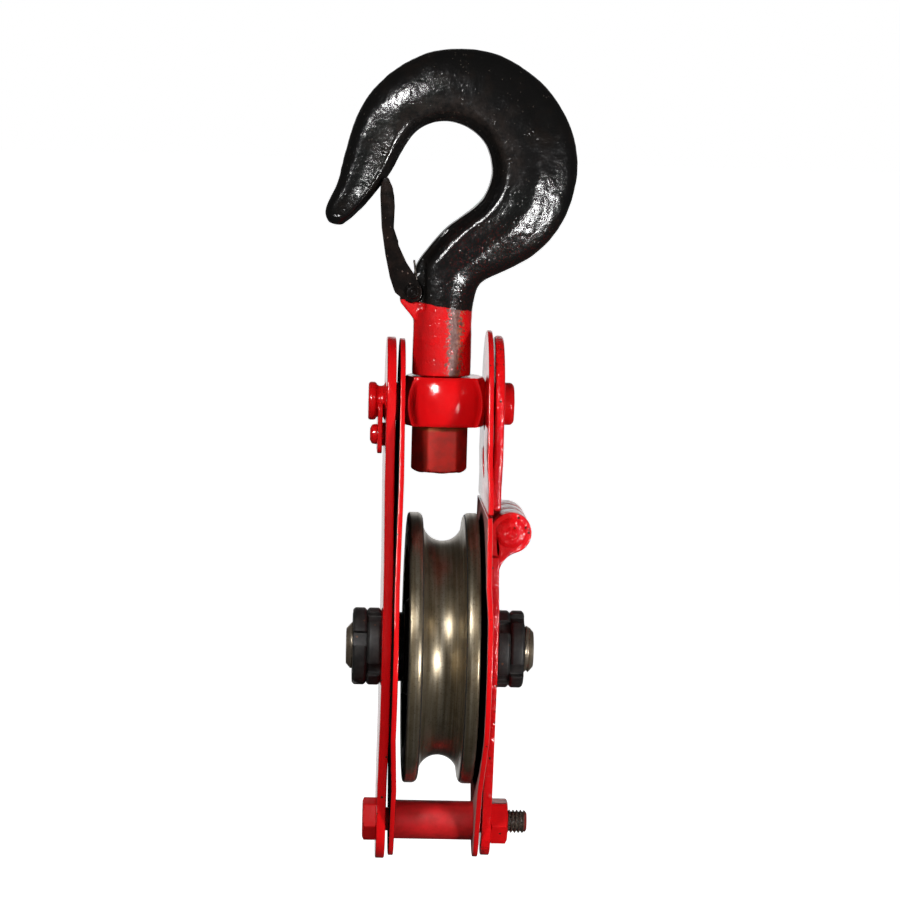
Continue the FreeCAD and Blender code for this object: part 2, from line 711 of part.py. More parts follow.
def make_axle():
    """Round bar with screwed ends; each end is chamfered down to a flat."""
    half = 39.75
    smooth_half = 25.6
    thread_depth = 0.9
    run_out = 0.2
    root = axle_radius - thread_depth
    pitch = 2.5
    low_x = sheave_x - half
    high_x = sheave_x + half
    chamfer = 2.0
    # Outline of one end as (distance in from the tip, radius).
    tip = [(0, 0), (0, root - 2.4), (0.8, root - 0.9), (chamfer, root)]
    profile = [(low_x + run, radius) for run, radius in tip]
    profile += thread_profile(low_x + chamfer + run_out, sheave_x - smooth_half, root, axle_radius, pitch)
    profile += thread_profile(sheave_x + smooth_half, high_x - chamfer - run_out, root, axle_radius, pitch)
    profile += [(high_x - run, radius) for run, radius in reversed(tip)]
    return turned_x(profile, 0, axle_z)


def thread_profile(x0, x1, root, crest, pitch):
    """Outline of a screwed length as even ridges, from x0 to x1."""
    crest_start = 0.42           # shares of one ridge's length
    crest_end = 0.58
    count = max(1, round((x1 - x0) / pitch))
    step = (x1 - x0) / count
    points = []
    for i in range(count):
        start = x0 + i * step
        points += [(start, root), (start + crest_start * step, crest), (start + crest_end * step, crest)]
    points.append((x1, root))
    return points


def make_round_nut(x0, notch_angle):
    """Slotted round nut; notch_angle turns its four notches about the axle, from -Y towards +Z."""
    x1 = x0 + round_nut_height
    edge = 1.0
    wide = round_nut_radius
    profile = [(x0, axle_radius), (x0, wide - edge), (x0 + edge, wide), (x1 - edge, wide),
               (x1, wide - edge), (x1, axle_radius)]
    nut = turned_x(profile, 0, axle_z)
    for i in range(4):
        notch = box(x0 - clear, x1 + clear, -wide - clear, -wide + notch_depth,
                    axle_z - notch_width / 2, axle_z + notch_width / 2)
        notch.rotate(V(0, 0, axle_z), X_AXIS, -notch_angle - 90 * i)
        nut = nut.cut(notch)
    return nut


# ---------------------------------------------------------------- tie bolt
def make_tie_bolt():
    """Hexagon-headed bolt, screwed at the end that carries the nut."""
    end = tie_nut_x + tie_nut_height + tie_bolt_past
    thread_back = 2.0            # thread behind the nut's inner face
    thread_depth = 0.85
    run_out = 0.1
    tip_length = 1.0
    thread_start = tie_nut_x - thread_back
    root = tie_radius - thread_depth
    pitch = 1.6
    head_height = 5.7
    across_flats = 16.2
    turn = 10
    profile = [(tie_head_x, 0), (tie_head_x, tie_radius), (thread_start, tie_radius)]
    profile += thread_profile(thread_start + run_out, end - tip_length, root, tie_radius, pitch)
    # Outline of the tip as (distance in from the end, radius).
    tip = [(0.5, root - 0.2), (0, root - 1.2), (0, 0)]
    profile += [(end - run, radius) for run, radius in tip]
    shank = turned_x(profile, 0, tie_z)
    head = hexagon_x(across_flats, tie_head_x - head_height, tie_head_x, 0, tie_z, turn, ["low"])
    return shank.fuse(head)


def make_tie_nut():
    across_flats = 17.6
    turn = 4
    high_x = tie_nut_x + tie_nut_height
    body = hexagon_x(across_flats, tie_nut_x, high_x, 0, tie_z, turn, ["low", "high"])
    return body.cut(cylinder_x(tie_radius, tie_nut_x - clear, high_x + clear, 0, tie_z))


def make_tie_spacer():
    return ring(tie_spacer_radius, tie_radius, frame_x - tie_cheek, frame_x + tie_cheek, 0, tie_z)


# ---------------------------------------------------------------- trunnion keeper
def make_keeper_plate():
    x0 = frame_x - keeper_outer
    x1 = frame_x - keeper_inner
    half_width = 12.0
    drop = 21.4
    corner_radius = 3.0
    plate = box(x0, x1, -half_width, half_width, trunnion_z - drop, trunnion_z)
    corners = [edge for edge in plate.Edges if abs(edge.tangentAt(edge.FirstParameter).x) > 0.9]
    plate = plate.makeFillet(corner_radius, corners)
    notch = cylinder_x(trunnion_neck_radius + running_gap, x0 - clear, x1 + clear, 0, trunnion_z)
    screw_hole = cylinder_x(keeper_screw_radius, x0 - clear, x1 + clear, 0, keeper_screw_z)
    return plate.cut(notch).cut(screw_hole)


def make_keeper_washer():
    washer_radius = 5.0
    x0 = frame_x - keeper_inner
    return ring(washer_radius, keeper_screw_radius, x0, x0 + keeper_washer_thickness, 0, keeper_screw_z)


def make_keeper_screw():
    head_x = frame_x - keeper_outer
    end_x = frame_x - top_left_strap
    # Outline of the head as (distance out from the keeper, radius).
    head = [(3.0, 0), (3.0, 2.6), (2.4, 3.8), (1.4, 4.4), (0, 4.4)]
    profile = [(head_x - run, radius) for run, radius in head]
    profile += [(head_x, keeper_screw_radius), (end_x, keeper_screw_radius), (end_x, 0)]
    return turned_x(profile, 0, keeper_screw_z)


# ---------------------------------------------------------------- all nodes
def build():
    left_face = frame_x - (axle_strap + strap_thickness)
    right_face = frame_x + axle_strap + strap_thickness
    height = round_nut_height
    return {
        "hook": make_hook(),
        "hook_nut": make_hook_nut(),
        "hook_latch": make_latch(),
        "latch_rivet": make_latch_rivet(),
        "latch_spring": make_latch_spring(),
        "crosshead": make_crosshead(),
        "left_strap": make_left_strap(),
        "left_cheek": make_left_cheek(),
        "right_strap": make_right_strap(),
        "right_cheek": make_right_cheek(),
        "link_strap": make_link_strap(),
        "link_cheek": make_link_cheek(),
        "hinge_pin": make_hinge_pin(),
        "sheave": make_sheave(),
        "sheave_bush": make_sheave_bush(),
        "axle": make_axle(),
        "left_collar": make_collar(-1),
        "right_collar": make_collar(1),
        "left_inner_nut": make_round_nut(left_face - height, -30),
        "left_outer_nut": make_round_nut(left_face - 2 * height, 20),
        "right_inner_nut": make_round_nut(right_face, 44),
        "right_outer_nut": make_round_nut(right_face + height, -27),
        "tie_bolt": make_tie_bolt(),
        "tie_nut": make_tie_nut(),
        "tie_spacer": make_tie_spacer(),
        "keeper_plate": make_keeper_plate(),
        "keeper_washer": make_keeper_washer(),
        "keeper_screw": make_keeper_screw(),
    }


os.makedirs("parts", exist_ok=True)
for node, shape in build().items():
    solids = shape.Solids
    if len(solids) != 1 or not shape.isValid():
        raise ValueError(f"{node}: {len(solids)} solids, valid {shape.isValid()}")
    solids[0].exportStep(f"parts/{node}.step")
    bounds = solids[0].BoundBox
    print(f"{node:16s} {solids[0].Volume:10.1f} mm3  x {bounds.XMin:.1f} {bounds.XMax:.1f}"
          f"  y {bounds.YMin:.1f} {bounds.YMax:.1f}  z {bounds.ZMin:.1f} {bounds.ZMax:.1f}")
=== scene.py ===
import math
import bmesh
import bpy
import numpy as np
from mathutils import Matrix, Vector, noise


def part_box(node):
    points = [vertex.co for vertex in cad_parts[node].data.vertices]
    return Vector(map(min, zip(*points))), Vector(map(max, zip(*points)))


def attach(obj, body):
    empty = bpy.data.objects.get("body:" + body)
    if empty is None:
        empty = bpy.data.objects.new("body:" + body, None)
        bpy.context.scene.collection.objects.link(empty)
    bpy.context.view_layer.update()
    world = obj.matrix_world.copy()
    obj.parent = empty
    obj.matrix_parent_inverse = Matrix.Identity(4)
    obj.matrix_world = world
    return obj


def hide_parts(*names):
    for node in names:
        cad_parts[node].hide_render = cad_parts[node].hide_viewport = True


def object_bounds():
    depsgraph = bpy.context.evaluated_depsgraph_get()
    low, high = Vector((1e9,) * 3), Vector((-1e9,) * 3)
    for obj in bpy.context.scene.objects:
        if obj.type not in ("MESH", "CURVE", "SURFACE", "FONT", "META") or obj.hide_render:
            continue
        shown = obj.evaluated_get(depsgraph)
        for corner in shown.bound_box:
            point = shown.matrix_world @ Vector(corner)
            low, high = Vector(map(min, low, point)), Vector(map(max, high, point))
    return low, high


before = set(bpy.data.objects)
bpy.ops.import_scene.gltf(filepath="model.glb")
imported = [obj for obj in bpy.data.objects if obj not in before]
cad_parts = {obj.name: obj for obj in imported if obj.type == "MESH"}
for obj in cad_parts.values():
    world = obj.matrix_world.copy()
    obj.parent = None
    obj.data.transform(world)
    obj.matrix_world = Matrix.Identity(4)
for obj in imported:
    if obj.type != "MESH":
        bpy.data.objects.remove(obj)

# Looks of a snatch block: forged swivel hook, painted crosshead, cranked side plates and a turned
# sheave.  Positions come from the parts in model.glb.  Lengths are millimetres times MM.
MM = 0.001
cad_box = [list(corner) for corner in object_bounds()]


# ---------------------------------------------------------------- where things are
def centre(node):
    low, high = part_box(node)
    return (low + high) / 2


def radius_of(node):
    """Half a round node's height."""
    low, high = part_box(node)
    return (high.z - low.z) / 2


axle_centre = centre("axle")
tie_centre = centre("tie_spacer")
pivot = centre("latch_rivet")


# ---------------------------------------------------------------- materials
class Graph:
    """One material's nodes: a principled shader and short ways to feed it."""

    def __init__(self, name, **constants):
        self.material = bpy.data.materials.new(name)
        self.material.use_nodes = True
        self.tree = self.material.node_tree
        self.tree.nodes.clear()
        self.shader = self.node("BsdfPrincipled")
        output = self.node("OutputMaterial")
        self.tree.links.new(self.shader.outputs[0], output.inputs[0])
        self.place = self.node("TexCoord").outputs["Object"]
        for label, value in constants.items():
            self.shader.inputs[label.replace("_", " ")].default_value = value

    def node(self, kind, **settings):
        made = self.tree.nodes.new("ShaderNode" + kind)
        for key, value in settings.items():
            setattr(made, key, value)
        return made

    def join(self, value, socket):
        if isinstance(value, bpy.types.NodeSocket):
            self.tree.links.new(value, socket)
        else:
            socket.default_value = value

    def math(self, operation, a, b=0.0):
        made = self.node("Math", operation=operation)
        self.join(a, made.inputs[0])
        self.join(b, made.inputs[1])
        return made.outputs[0]

    def step(self, value, low, high):
        """Smooth 0 to 1 as value goes from low to high."""
        made = self.node("MapRange", interpolation_type="SMOOTHSTEP")
        self.join(value, made.inputs[0])
        made.inputs[1].default_value = low
        made.inputs[2].default_value = high
        return made.outputs[0]

    def spread(self, value, low, high):
        """0..1 becomes low..high."""
        made = self.node("MapRange")
        self.join(value, made.inputs[0])
        made.inputs[3].default_value = low
        made.inputs[4].default_value = high
        return made.outputs[0]

    def blend(self, factor, a, b):
        made = self.node("Mix", data_type="RGBA")
        self.join(factor, made.inputs[0])
        self.join(a, made.inputs[6])
        self.join(b, made.inputs[7])
        return made.outputs[2]

    def noise(self, size, detail=2.0, rough=0.5, place=None):
        """Noise with features about size millimetres across."""
        made = self.node("TexNoise")
        self.join(place or self.place, made.inputs["Vector"])
        made.inputs["Scale"].default_value = 1 / (size * MM)
        made.inputs["Detail"].default_value = detail
        made.inputs["Roughness"].default_value = rough
        return made.outputs[0]

    def cells(self, size):
        """(distance from each cell's middle, random colour of each cell)."""
        made = self.node("TexVoronoi")
        self.join(self.place, made.inputs["Vector"])
        made.inputs["Scale"].default_value = 1 / (size * MM)
        return made.outputs[0], made.outputs[1]

    def specks(self, size, share):
        """1 inside scattered specks, on about that share of the cells."""
        distance, colour = self.cells(size)
        chosen = self.math("GREATER_THAN", self.axis(colour, 0), 1 - share)
        return self.math("MULTIPLY", chosen, self.step(distance, 0.42, 0.25))

    def axis(self, vector, index):
        made = self.node("SeparateXYZ")
        self.join(vector, made.inputs[0])
        return made.outputs[index]

    def vector(self, x, y, z):
        made = self.node("CombineXYZ")
        for value, socket in zip((x, y, z), made.inputs):
            self.join(value, socket)
        return made.outputs[0]

    def bump(self, height, depth):
        """Adds relief of depth millimetres to what the shader already has."""
        made = self.node("Bump")
        made.inputs["Strength"].default_value = 1.0
        made.inputs["Distance"].default_value = depth * MM
        self.join(height, made.inputs["Height"])
        socket = self.shader.inputs["Normal"]
        if socket.links:
            self.tree.links.new(socket.links[0].from_socket, made.inputs["Normal"])
        self.tree.links.new(made.outputs[0], socket)

    def set(self, label, value):
        self.join(value, self.shader.inputs[label])

    def distance(self, a, a0, b, b0):
        """How far (a, b) is from the point (a0, b0)."""
        across = self.math("SUBTRACT", a, a0)
        up = self.math("SUBTRACT", b, b0)
        squares = self.math("ADD", self.math("MULTIPLY", across, across), self.math("MULTIPLY", up, up))
        return self.math("SQRT", squares)

    def polar(self, middle):
        """(distance from the X axis through middle, angle about it)."""
        y = self.math("SUBTRACT", self.axis(self.place, 1), middle.y)
        z = self.math("SUBTRACT", self.axis(self.place, 2), middle.z)
        squares = self.math("ADD", self.math("MULTIPLY", y, y), self.math("MULTIPLY", z, z))
        return self.math("SQRT", squares), self.math("ARCTAN2", y, z)


RED = (0.56, 0.0035, 0.005, 1)
DEEP_RED = (0.34, 0.003, 0.004, 1)
BROWN = (0.028, 0.014, 0.008, 1)
RUST = (0.24, 0.085, 0.022, 1)
BLACK = (0.0035, 0.0033, 0.0032, 1)


def red_enamel(name, roughness, lump, lump_size, grit, specks=0.02):
    """Thick glossy paint: orange peel, runs, dust nibs and a few chips."""
    g = Graph(name)
    tone = g.step(g.noise(14, 3, 0.55), 0.35, 0.75)
    colour = g.blend(tone, RED, DEEP_RED)
    colour = g.blend(g.spread(tone, 0.0, 0.35), RED, colour)
    chips = g.specks(1.5, specks)
    colour = g.blend(chips, colour, BROWN)
    g.set("Base Color", colour)
    g.set("Roughness", g.spread(g.noise(5, 2), roughness * 0.75, roughness * 1.5))
    g.bump(g.noise(lump_size, 2, 0.45), lump)
    g.bump(g.noise(1.15, 3, 0.6), grit)
    g.bump(g.math("MULTIPLY", chips, -1.0), 0.05)
    return g.material


def dull_red(name, colour, dark, roughness, rust_top=None):
    """Thin dry paint, browner, with rust along the top edge when rust_top is its height."""
    g = Graph(name, Specular_IOR_Level=0.28)
    tone = g.blend(g.step(g.noise(5, 4, 0.6), 0.35, 0.7), colour, dark)
    dust = g.step(g.noise(0.8, 3, 0.6), 0.62, 0.75)
    tone = g.blend(g.spread(dust, 0.0, 0.3), tone, (0.36, 0.05, 0.03, 1))
    if rust_top is not None:
        height = g.axis(g.place, 2)
        wander = g.math("MULTIPLY", g.noise(3, 4, 0.65), 2.2 * MM)
        edge = g.math("ADD", height, wander)
        rust = g.step(edge, rust_top - 1.1 * MM, rust_top + 0.6 * MM)
        tone = g.blend(g.spread(rust, 0.0, 0.8), tone, RUST)
    g.set("Base Color", tone)
    g.set("Roughness", g.spread(g.noise(2, 3), roughness * 0.85, min(1.0, roughness * 1.25)))
    g.bump(g.noise(1.6, 3), 0.05)
    g.bump(g.noise(0.45, 2), 0.03)
    return g.material


def forging_black():
    """Black paint on a rough forging; below the paint line it is red, worn bare on the near side."""
    g = Graph("forging_paint")
    x = g.axis(g.place, 0)
    y = g.axis(g.place, 1)
    z = g.axis(g.place, 2)
    # Black to brown by patches, with a scatter of red overspray low on the bow.
    brown = g.step(g.noise(9, 4, 0.6), 0.45, 0.8)
    black = g.blend(g.spread(brown, 0.0, 0.55), BLACK, (0.011, 0.007, 0.005, 1))
    # A lighter brown band along the inner edge at the top of the bow is painted sheen standing in for a
    # highlight, and also rubbed wear.
    bowl_x = -0.5 * MM
    bowl_z = -21.0 * MM
    from_bowl = g.distance(x, bowl_x, z, bowl_z)
    rubbed_and_sheen = g.math("MULTIPLY", g.step(from_bowl, 22 * MM, 26 * MM), g.step(from_bowl, 35 * MM, 29 * MM))
    rubbed_and_sheen = g.math("MULTIPLY", rubbed_and_sheen, g.step(z, -34 * MM, -14 * MM))
    rubbed_and_sheen = g.math("MULTIPLY", rubbed_and_sheen, g.step(g.noise(2.4, 5, 0.7), 0.30, 0.70))
    black = g.blend(g.spread(rubbed_and_sheen, 0.0, 0.5), black, (0.028, 0.021, 0.018, 1))
    low_bow = g.math("MULTIPLY", g.step(z, -34 * MM, -54 * MM), g.step(x, -6 * MM, 8 * MM))
    spray = g.math("MULTIPLY", g.step(g.noise(0.75, 2, 0.6), 0.54, 0.66), low_bow)
    black = g.blend(g.spread(spray, 0.0, 0.4), black, (0.085, 0.006, 0.005, 1))
    pale = g.math("MULTIPLY", g.specks(1.1, 0.05), 0.3)
    black = g.blend(pale, black, (0.06, 0.05, 0.04, 1))
    # The paint line slopes down to the right.
    slope = 0.151
    level = g.math("ADD", z, g.math("MULTIPLY", x, slope))
    level = g.math("ADD", level, g.math("MULTIPLY", g.noise(4, 2), 1.2 * MM))
    painted = g.step(level, -76.6 * MM, -77.2 * MM)
    # Bare stripe on the near side of the shank.
    stripe_x = 5.0 * MM
    off = g.math("ABSOLUTE", g.math("SUBTRACT", x, stripe_x))
    solid = g.math("SUBTRACT", 1.0, g.math("DIVIDE", off, 5.2 * MM))
    ragged = g.math("ADD", solid, g.math("MULTIPLY", g.math("SUBTRACT", g.noise(1.5, 5, 0.75), 0.5), 3.0))
    bare = g.math("MULTIPLY", g.step(ragged, 0.28, 0.62), g.step(y, 1 * MM, -2 * MM))
    metal = g.step(g.noise(1.1, 4, 0.7), 0.42, 0.62)
    metal = g.blend(metal, (0.03, 0.018, 0.012, 1), (0.10, 0.062, 0.045, 1))
    rust_side = g.math("MULTIPLY", g.step(x, 4.5 * MM, 8 * MM), g.step(g.noise(1.4, 3), 0.5, 0.62))
    metal = g.blend(rust_side, metal, RUST)
    red = g.blend(g.step(g.noise(12, 3), 0.4, 0.75), RED, (0.40, 0.006, 0.007, 1))
    red = g.blend(g.spread(bare, 0.0, 0.9), red, metal)
    g.set("Base Color", g.blend(painted, black, red))
    dry = g.math("MULTIPLY", g.math("MULTIPLY", bare, painted), 0.25)
    g.set("Roughness", g.math("ADD", dry, g.spread(g.noise(6, 4, 0.6), 0.12, 0.30)))
    g.bump(g.noise(2.8, 2, 0.5), 0.06)
    g.bump(g.noise(1.2, 3, 0.6), 0.11)
    pits = g.specks(1.7, 0.2)
    g.bump(g.math("MULTIPLY", pits, -1.0), 0.05)
    return g.material


def black_sheet():
    """Thin brown-black paint on sheet, worn along its length."""
    g = Graph("sheet_paint")
    tone = g.step(g.noise(6, 4, 0.6), 0.4, 0.7)
    tone = g.blend(tone, (0.004, 0.003, 0.0027, 1), (0.011, 0.006, 0.0045, 1))
    tone = g.blend(g.math("MULTIPLY", g.specks(1.1, 0.06), 0.6), tone, (0.11, 0.075, 0.06, 1))
    g.set("Base Color", tone)
    g.set("Roughness", g.spread(g.noise(3, 3), 0.12, 0.24))
    g.bump(g.noise(2.2, 2), 0.05)
    g.bump(g.noise(1.0, 3, 0.6), 0.05)
    return g.material


def black_oxide_and_shade():
    """Matte blackened steel with rust dust and softly worn relief; on the sheave's sides it stands as painted
    shade.
    """
    g = Graph("black_oxide_and_shade_steel", Metallic=0.35)
    tone = g.step(g.noise(4, 4, 0.6), 0.35, 0.7)
    tone = g.blend(tone, (0.016, 0.0155, 0.0155, 1), (0.034, 0.031, 0.029, 1))
    tone = g.blend(g.math("MULTIPLY", g.specks(1.5, 0.035), 0.7), tone, (0.13, 0.05, 0.02, 1))
    g.set("Base Color", tone)
    g.set("Roughness", g.spread(g.noise(1.6, 3), 0.42, 0.62))
    g.bump(g.noise(1.8, 3), 0.05)
    g.bump(g.noise(0.4, 2), 0.03)
    return g.material


def shade_and_reflection_red():
    """Paint on the right cheek: black beside the sheave, which is painted shade, and pale red beyond it,
    which is painted reflection of the pale wall.
    """
    g = Graph("shade_and_reflection_paint", Specular_IOR_Level=0.0, Roughness=0.9)
    away = g.polar(axle_centre)[0]
    # Within about 60 mm of the axle the face is painted shade in black; beyond it the pale red is painted
    # reflection, as the specular is turned off.
    worn = g.math("ADD", away, g.math("MULTIPLY", g.noise(4, 4, 0.6), 3 * MM))
    reflection_share = g.step(worn, 58 * MM, 62 * MM)
    g.set("Base Color", g.blend(reflection_share, (0.006, 0.005, 0.0045, 1), (0.45, 0.20, 0.19, 1)))
    g.bump(g.noise(1.5, 3), 0.04)
    return g.material


def painted_shade():
    """Black on the faces of the left cheek: painted shade for the shaded gap between strap and cheek."""
    g = Graph("painted_shade_on_steel", Specular_IOR_Level=0.0, Roughness=0.95)
    tone = g.step(g.noise(3, 4, 0.6), 0.4, 0.7)
    g.set("Base Color", g.blend(tone, (0.005, 0.0045, 0.004, 1), (0.012, 0.009, 0.008, 1)))
    g.bump(g.noise(1.5, 3), 0.04)
    return g.material


def turned_steel(name, middle, colour, dark, roughness, marks=0.03, stain=0.5):
    """Lathe-turned steel: every mark runs round the X axis through middle."""
    g = Graph(name, Metallic=0.9, Anisotropic=0.5, Anisotropic_Rotation=0.25)
    away, angle = g.polar(middle)
    along = g.math("ADD", g.axis(g.place, 0), away)
    round_it = g.math("MULTIPLY", angle, 1.2 * MM)
    streaks = g.vector(along, g.math("MULTIPLY", away, 0.6), round_it)
    fine = g.noise(0.16, 2, 0.6, place=streaks)
    bands = g.noise(1.9, 3, 0.6, place=streaks)
    tone = g.blend(g.step(bands, 0.36, 0.68), dark, colour)
    tone = g.blend(g.spread(g.step(fine, 0.35, 0.7), 0.0, 0.35), tone, dark)
    patches = g.step(g.noise(9, 4, 0.65), 0.45, 0.75)
    tone = g.blend(g.spread(patches, 0.0, stain), tone, (0.13, 0.09, 0.045, 1))
    grime = g.step(g.noise(0.8, 4, 0.7), 0.52, 0.68)
    tone = g.blend(g.spread(grime, 0.0, 0.5), tone, (0.05, 0.036, 0.024, 1))
    dust_from = 28 * MM
    dust_full = 48 * MM
    upper = g.step(g.axis(g.place, 2), middle.z + dust_from, middle.z + dust_full)
    dust = g.math("MULTIPLY", g.step(g.noise(0.9, 3, 0.7), 0.60, 0.68), upper)
    tone = g.blend(g.spread(dust, 0.0, 0.5), tone, (0.16, 0.016, 0.010, 1))
    g.set("Base Color", tone)
    g.set("Roughness", g.spread(g.noise(0.9, 3, place=streaks), roughness * 0.75, roughness * 1.3))
    g.bump(fine, marks)
    g.bump(g.noise(0.5, 3), 0.012)
    tangent = g.node("Tangent", direction_type="RADIAL", axis="X")
    g.tree.links.new(tangent.outputs[0], g.shader.inputs["Tangent"])
    return g.material


def plain_metal(name, colour, dark, roughness):
    """Drawn wire or bronze: faint streaks and tarnish."""
    g = Graph(name, Metallic=0.85)
    tone = g.blend(g.step(g.noise(2.2, 4, 0.6), 0.4, 0.7), colour, dark)
    g.set("Base Color", tone)
    g.set("Roughness", g.spread(g.noise(0.8, 3), roughness * 0.8, roughness * 1.3))
    g.bump(g.noise(0.35, 3), 0.015)
    return g.material


def bolt_paint(name, thread_from, thread_to):
    """Red paint on the head; the screw thread is dark steel with a red-painted tip."""
    g = Graph(name)
    x = g.axis(g.place, 0)
    wander = g.math("MULTIPLY", g.noise(1.3, 3), 1.6 * MM)
    bare = g.step(g.math("ADD", x, wander), thread_from + 0.3 * MM, thread_from + 1.4 * MM)
    tip = g.step(g.math("ADD", x, wander), thread_to - 0.7 * MM, thread_to + 0.5 * MM)
    steel = g.blend(g.step(g.noise(0.7, 3), 0.4, 0.65), (0.022, 0.018, 0.016, 1), (0.08, 0.06, 0.045, 1))
    tone = g.blend(bare, RED, steel)
    tone = g.blend(g.spread(tip, 0.0, 0.8), tone, (0.2, 0.006, 0.006, 1))
    g.set("Base Color", tone)
    g.set("Roughness", g.spread(g.noise(1.5, 2), 0.14, 0.28))
    g.bump(g.noise(2.2, 2), 0.10)
    g.bump(g.noise(1.1, 3, 0.6), 0.06)
    return g.material


def pale_floor():
    g = Graph("floor_paint", Roughness=0.9)
    tone = g.blend(g.noise(400, 2), (0.86, 0.86, 0.86, 1), (0.9, 0.9, 0.9, 1))
    g.set("Base Color", tone)
    g.shader.inputs["Emission Color"].default_value = (1, 1, 1, 1)
    g.shader.inputs["Emission Strength"].default_value = 0.96
    return g.material


nut_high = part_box("tie_nut")[1].x
bolt_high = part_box("tie_bolt")[1].x
PAINT = {
    "forging": forging_black(),
    "sheet": black_sheet(),
    "oxide_and_shade": black_oxide_and_shade(),
    "face": red_enamel("red_enamel_face", 0.15, 0.04, 3.2, 0.008),
    "edge": red_enamel("red_enamel_edge", 0.13, 0.12, 2.4, 0.07, 0.012),
    "shade_and_reflection": shade_and_reflection_red(),
    "painted_shade": painted_shade(),
    "casting": red_enamel("red_enamel_casting", 0.12, 0.12, 3.4, 0.075, 0.0),
    "knuckle": red_enamel("red_enamel_runs", 0.12, 0.9, 3.0, 0.18, 0.06),
    "satin": dull_red("red_satin_paint", (0.43, 0.010, 0.012, 1), (0.30, 0.008, 0.008, 1), 0.36),
    "nut": dull_red("red_brown_paint", (0.42, 0.014, 0.008, 1), (0.26, 0.016, 0.010, 1), 0.62,
                    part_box("hook_nut")[1].z),
    "bolt": bolt_paint("red_bolt_paint", nut_high, bolt_high),
    "sheave": turned_steel("turned_sheave_steel", axle_centre, (0.40, 0.35, 0.265, 1),
                           (0.22, 0.175, 0.11, 1), 0.34),
    "axle": turned_steel("bright_axle_steel", axle_centre, (0.62, 0.53, 0.42, 1),
                         (0.40, 0.31, 0.22, 1), 0.36, 0.02, 0.3),
    "bronze": plain_metal("bush_bronze_metal", (0.42, 0.24, 0.09, 1), (0.20, 0.11, 0.045, 1), 0.4),
    "wire": plain_metal("spring_wire_steel", (0.10, 0.085, 0.075, 1), (0.03, 0.022, 0.018, 1), 0.34),
}


# ---------------------------------------------------------------- mesh helpers
def piece(name, mesh, body, nodes, materials, sharp=32):
    """A finished mesh becomes a piece that stands for those CAD nodes."""
    mesh.name = name
    made = bpy.data.objects.new(name, mesh)
    bpy.context.scene.collection.objects.link(made)
    for material in materials:
        mesh.materials.append(PAINT[material])
    mesh.shade_smooth()
    if sharp:
        mesh.set_sharp_from_angle(angle=math.radians(sharp))
    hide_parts(*nodes)
    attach(made, body)
    return made


def mesh_of(vertices, faces):
    mesh = bpy.data.meshes.new("made")
    mesh.from_pydata([tuple(v) for v in vertices], [], faces)
    mesh.validate()
    return mesh


def joined(*meshes):
    """Several meshes as one."""
    bm = bmesh.new()
    for mesh in meshes:
        bm.from_mesh(mesh)
    mesh = bpy.data.meshes.new("made")
    bm.to_mesh(mesh)
    bm.free()
    return mesh


def welded(node, cuts=()):
    """A CAD node's mesh as one closed bmesh, its coplanar facets merged, cut at the given heights."""
    flat_degrees = 0.5
    bm = bmesh.new()
    bm.from_mesh(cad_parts[node].data)
    bmesh.ops.remove_doubles(bm, verts=bm.verts, dist=2e-6)
    bmesh.ops.dissolve_limit(bm, angle_limit=math.radians(flat_degrees), verts=bm.verts, edges=bm.edges)
    for height in cuts:
        everything = bm.verts[:] + bm.edges[:] + bm.faces[:]
        bmesh.ops.bisect_plane(bm, geom=everything, dist=1e-7, plane_co=(0, 0, height), plane_no=(0, 0, 1))
    return bm


def softened(node, name, body, materials, width, edges_along=False, cuts=()):
    """A CAD node with rounded edges; edges_along puts the second material on faces that look across X."""
    bm = welded(node, cuts=cuts)
    if edges_along:
        for face in bm.faces:
            face.material_index = 0 if abs(face.normal.x) > 0.8 else 1
    mesh = bpy.data.meshes.new(name)
    bm.to_mesh(mesh)
    bm.free()
    made = piece(name, mesh, body, [node], materials, sharp=None)
    bevel = made.modifiers.new("worn_edges", "BEVEL")
    bevel.width = width * MM
    bevel.segments = 4
    bevel.limit_method = "ANGLE"
    bevel.angle_limit = math.radians(28)
    bevel.use_clamp_overlap = False
    bevel.harden_normals = True
    bevel.miter_outer = "MITER_ARC"
    return made


def remeshed(node, voxel, smooth, ball=None):
    """A CAD node as an even skin of small quads, its edges melted as in a forging or thick paint.

    ball, as (centre, radius), is a round end that grows out of the node.
    """
    bm = welded(node)
    if ball:
        bmesh.ops.create_icosphere(bm, subdivisions=4, radius=ball[1], matrix=Matrix.Translation(ball[0]))
    mesh = bpy.data.meshes.new("skin")
    bm.to_mesh(mesh)
    bm.free()
    scratch = bpy.data.objects.new("scratch", mesh)
    bpy.context.scene.collection.objects.link(scratch)
    remesh = scratch.modifiers.new("skin", "REMESH")
    remesh.mode = "VOXEL"
    remesh.voxel_size = voxel * MM
    ease = scratch.modifiers.new("ease", "SMOOTH")
    ease.factor = 0.5
    ease.iterations = smooth
    result = bpy.data.meshes.new_from_object(scratch.evaluated_get(bpy.context.evaluated_depsgraph_get()))
    bpy.data.objects.remove(scratch)
    return result


def rumpled(mesh, waves, mask=None):
    """Moves vertices along their normals by noise; waves are (size, depth) in millimetres."""
    normals = [vertex.normal.copy() for vertex in mesh.vertices]
    for vertex, normal in zip(mesh.vertices, normals):
        share = mask(vertex.co) if mask else 1.0
        for size, depth in waves:
            vertex.co += normal * (noise.noise(vertex.co / (size * MM)) * depth * MM * share)


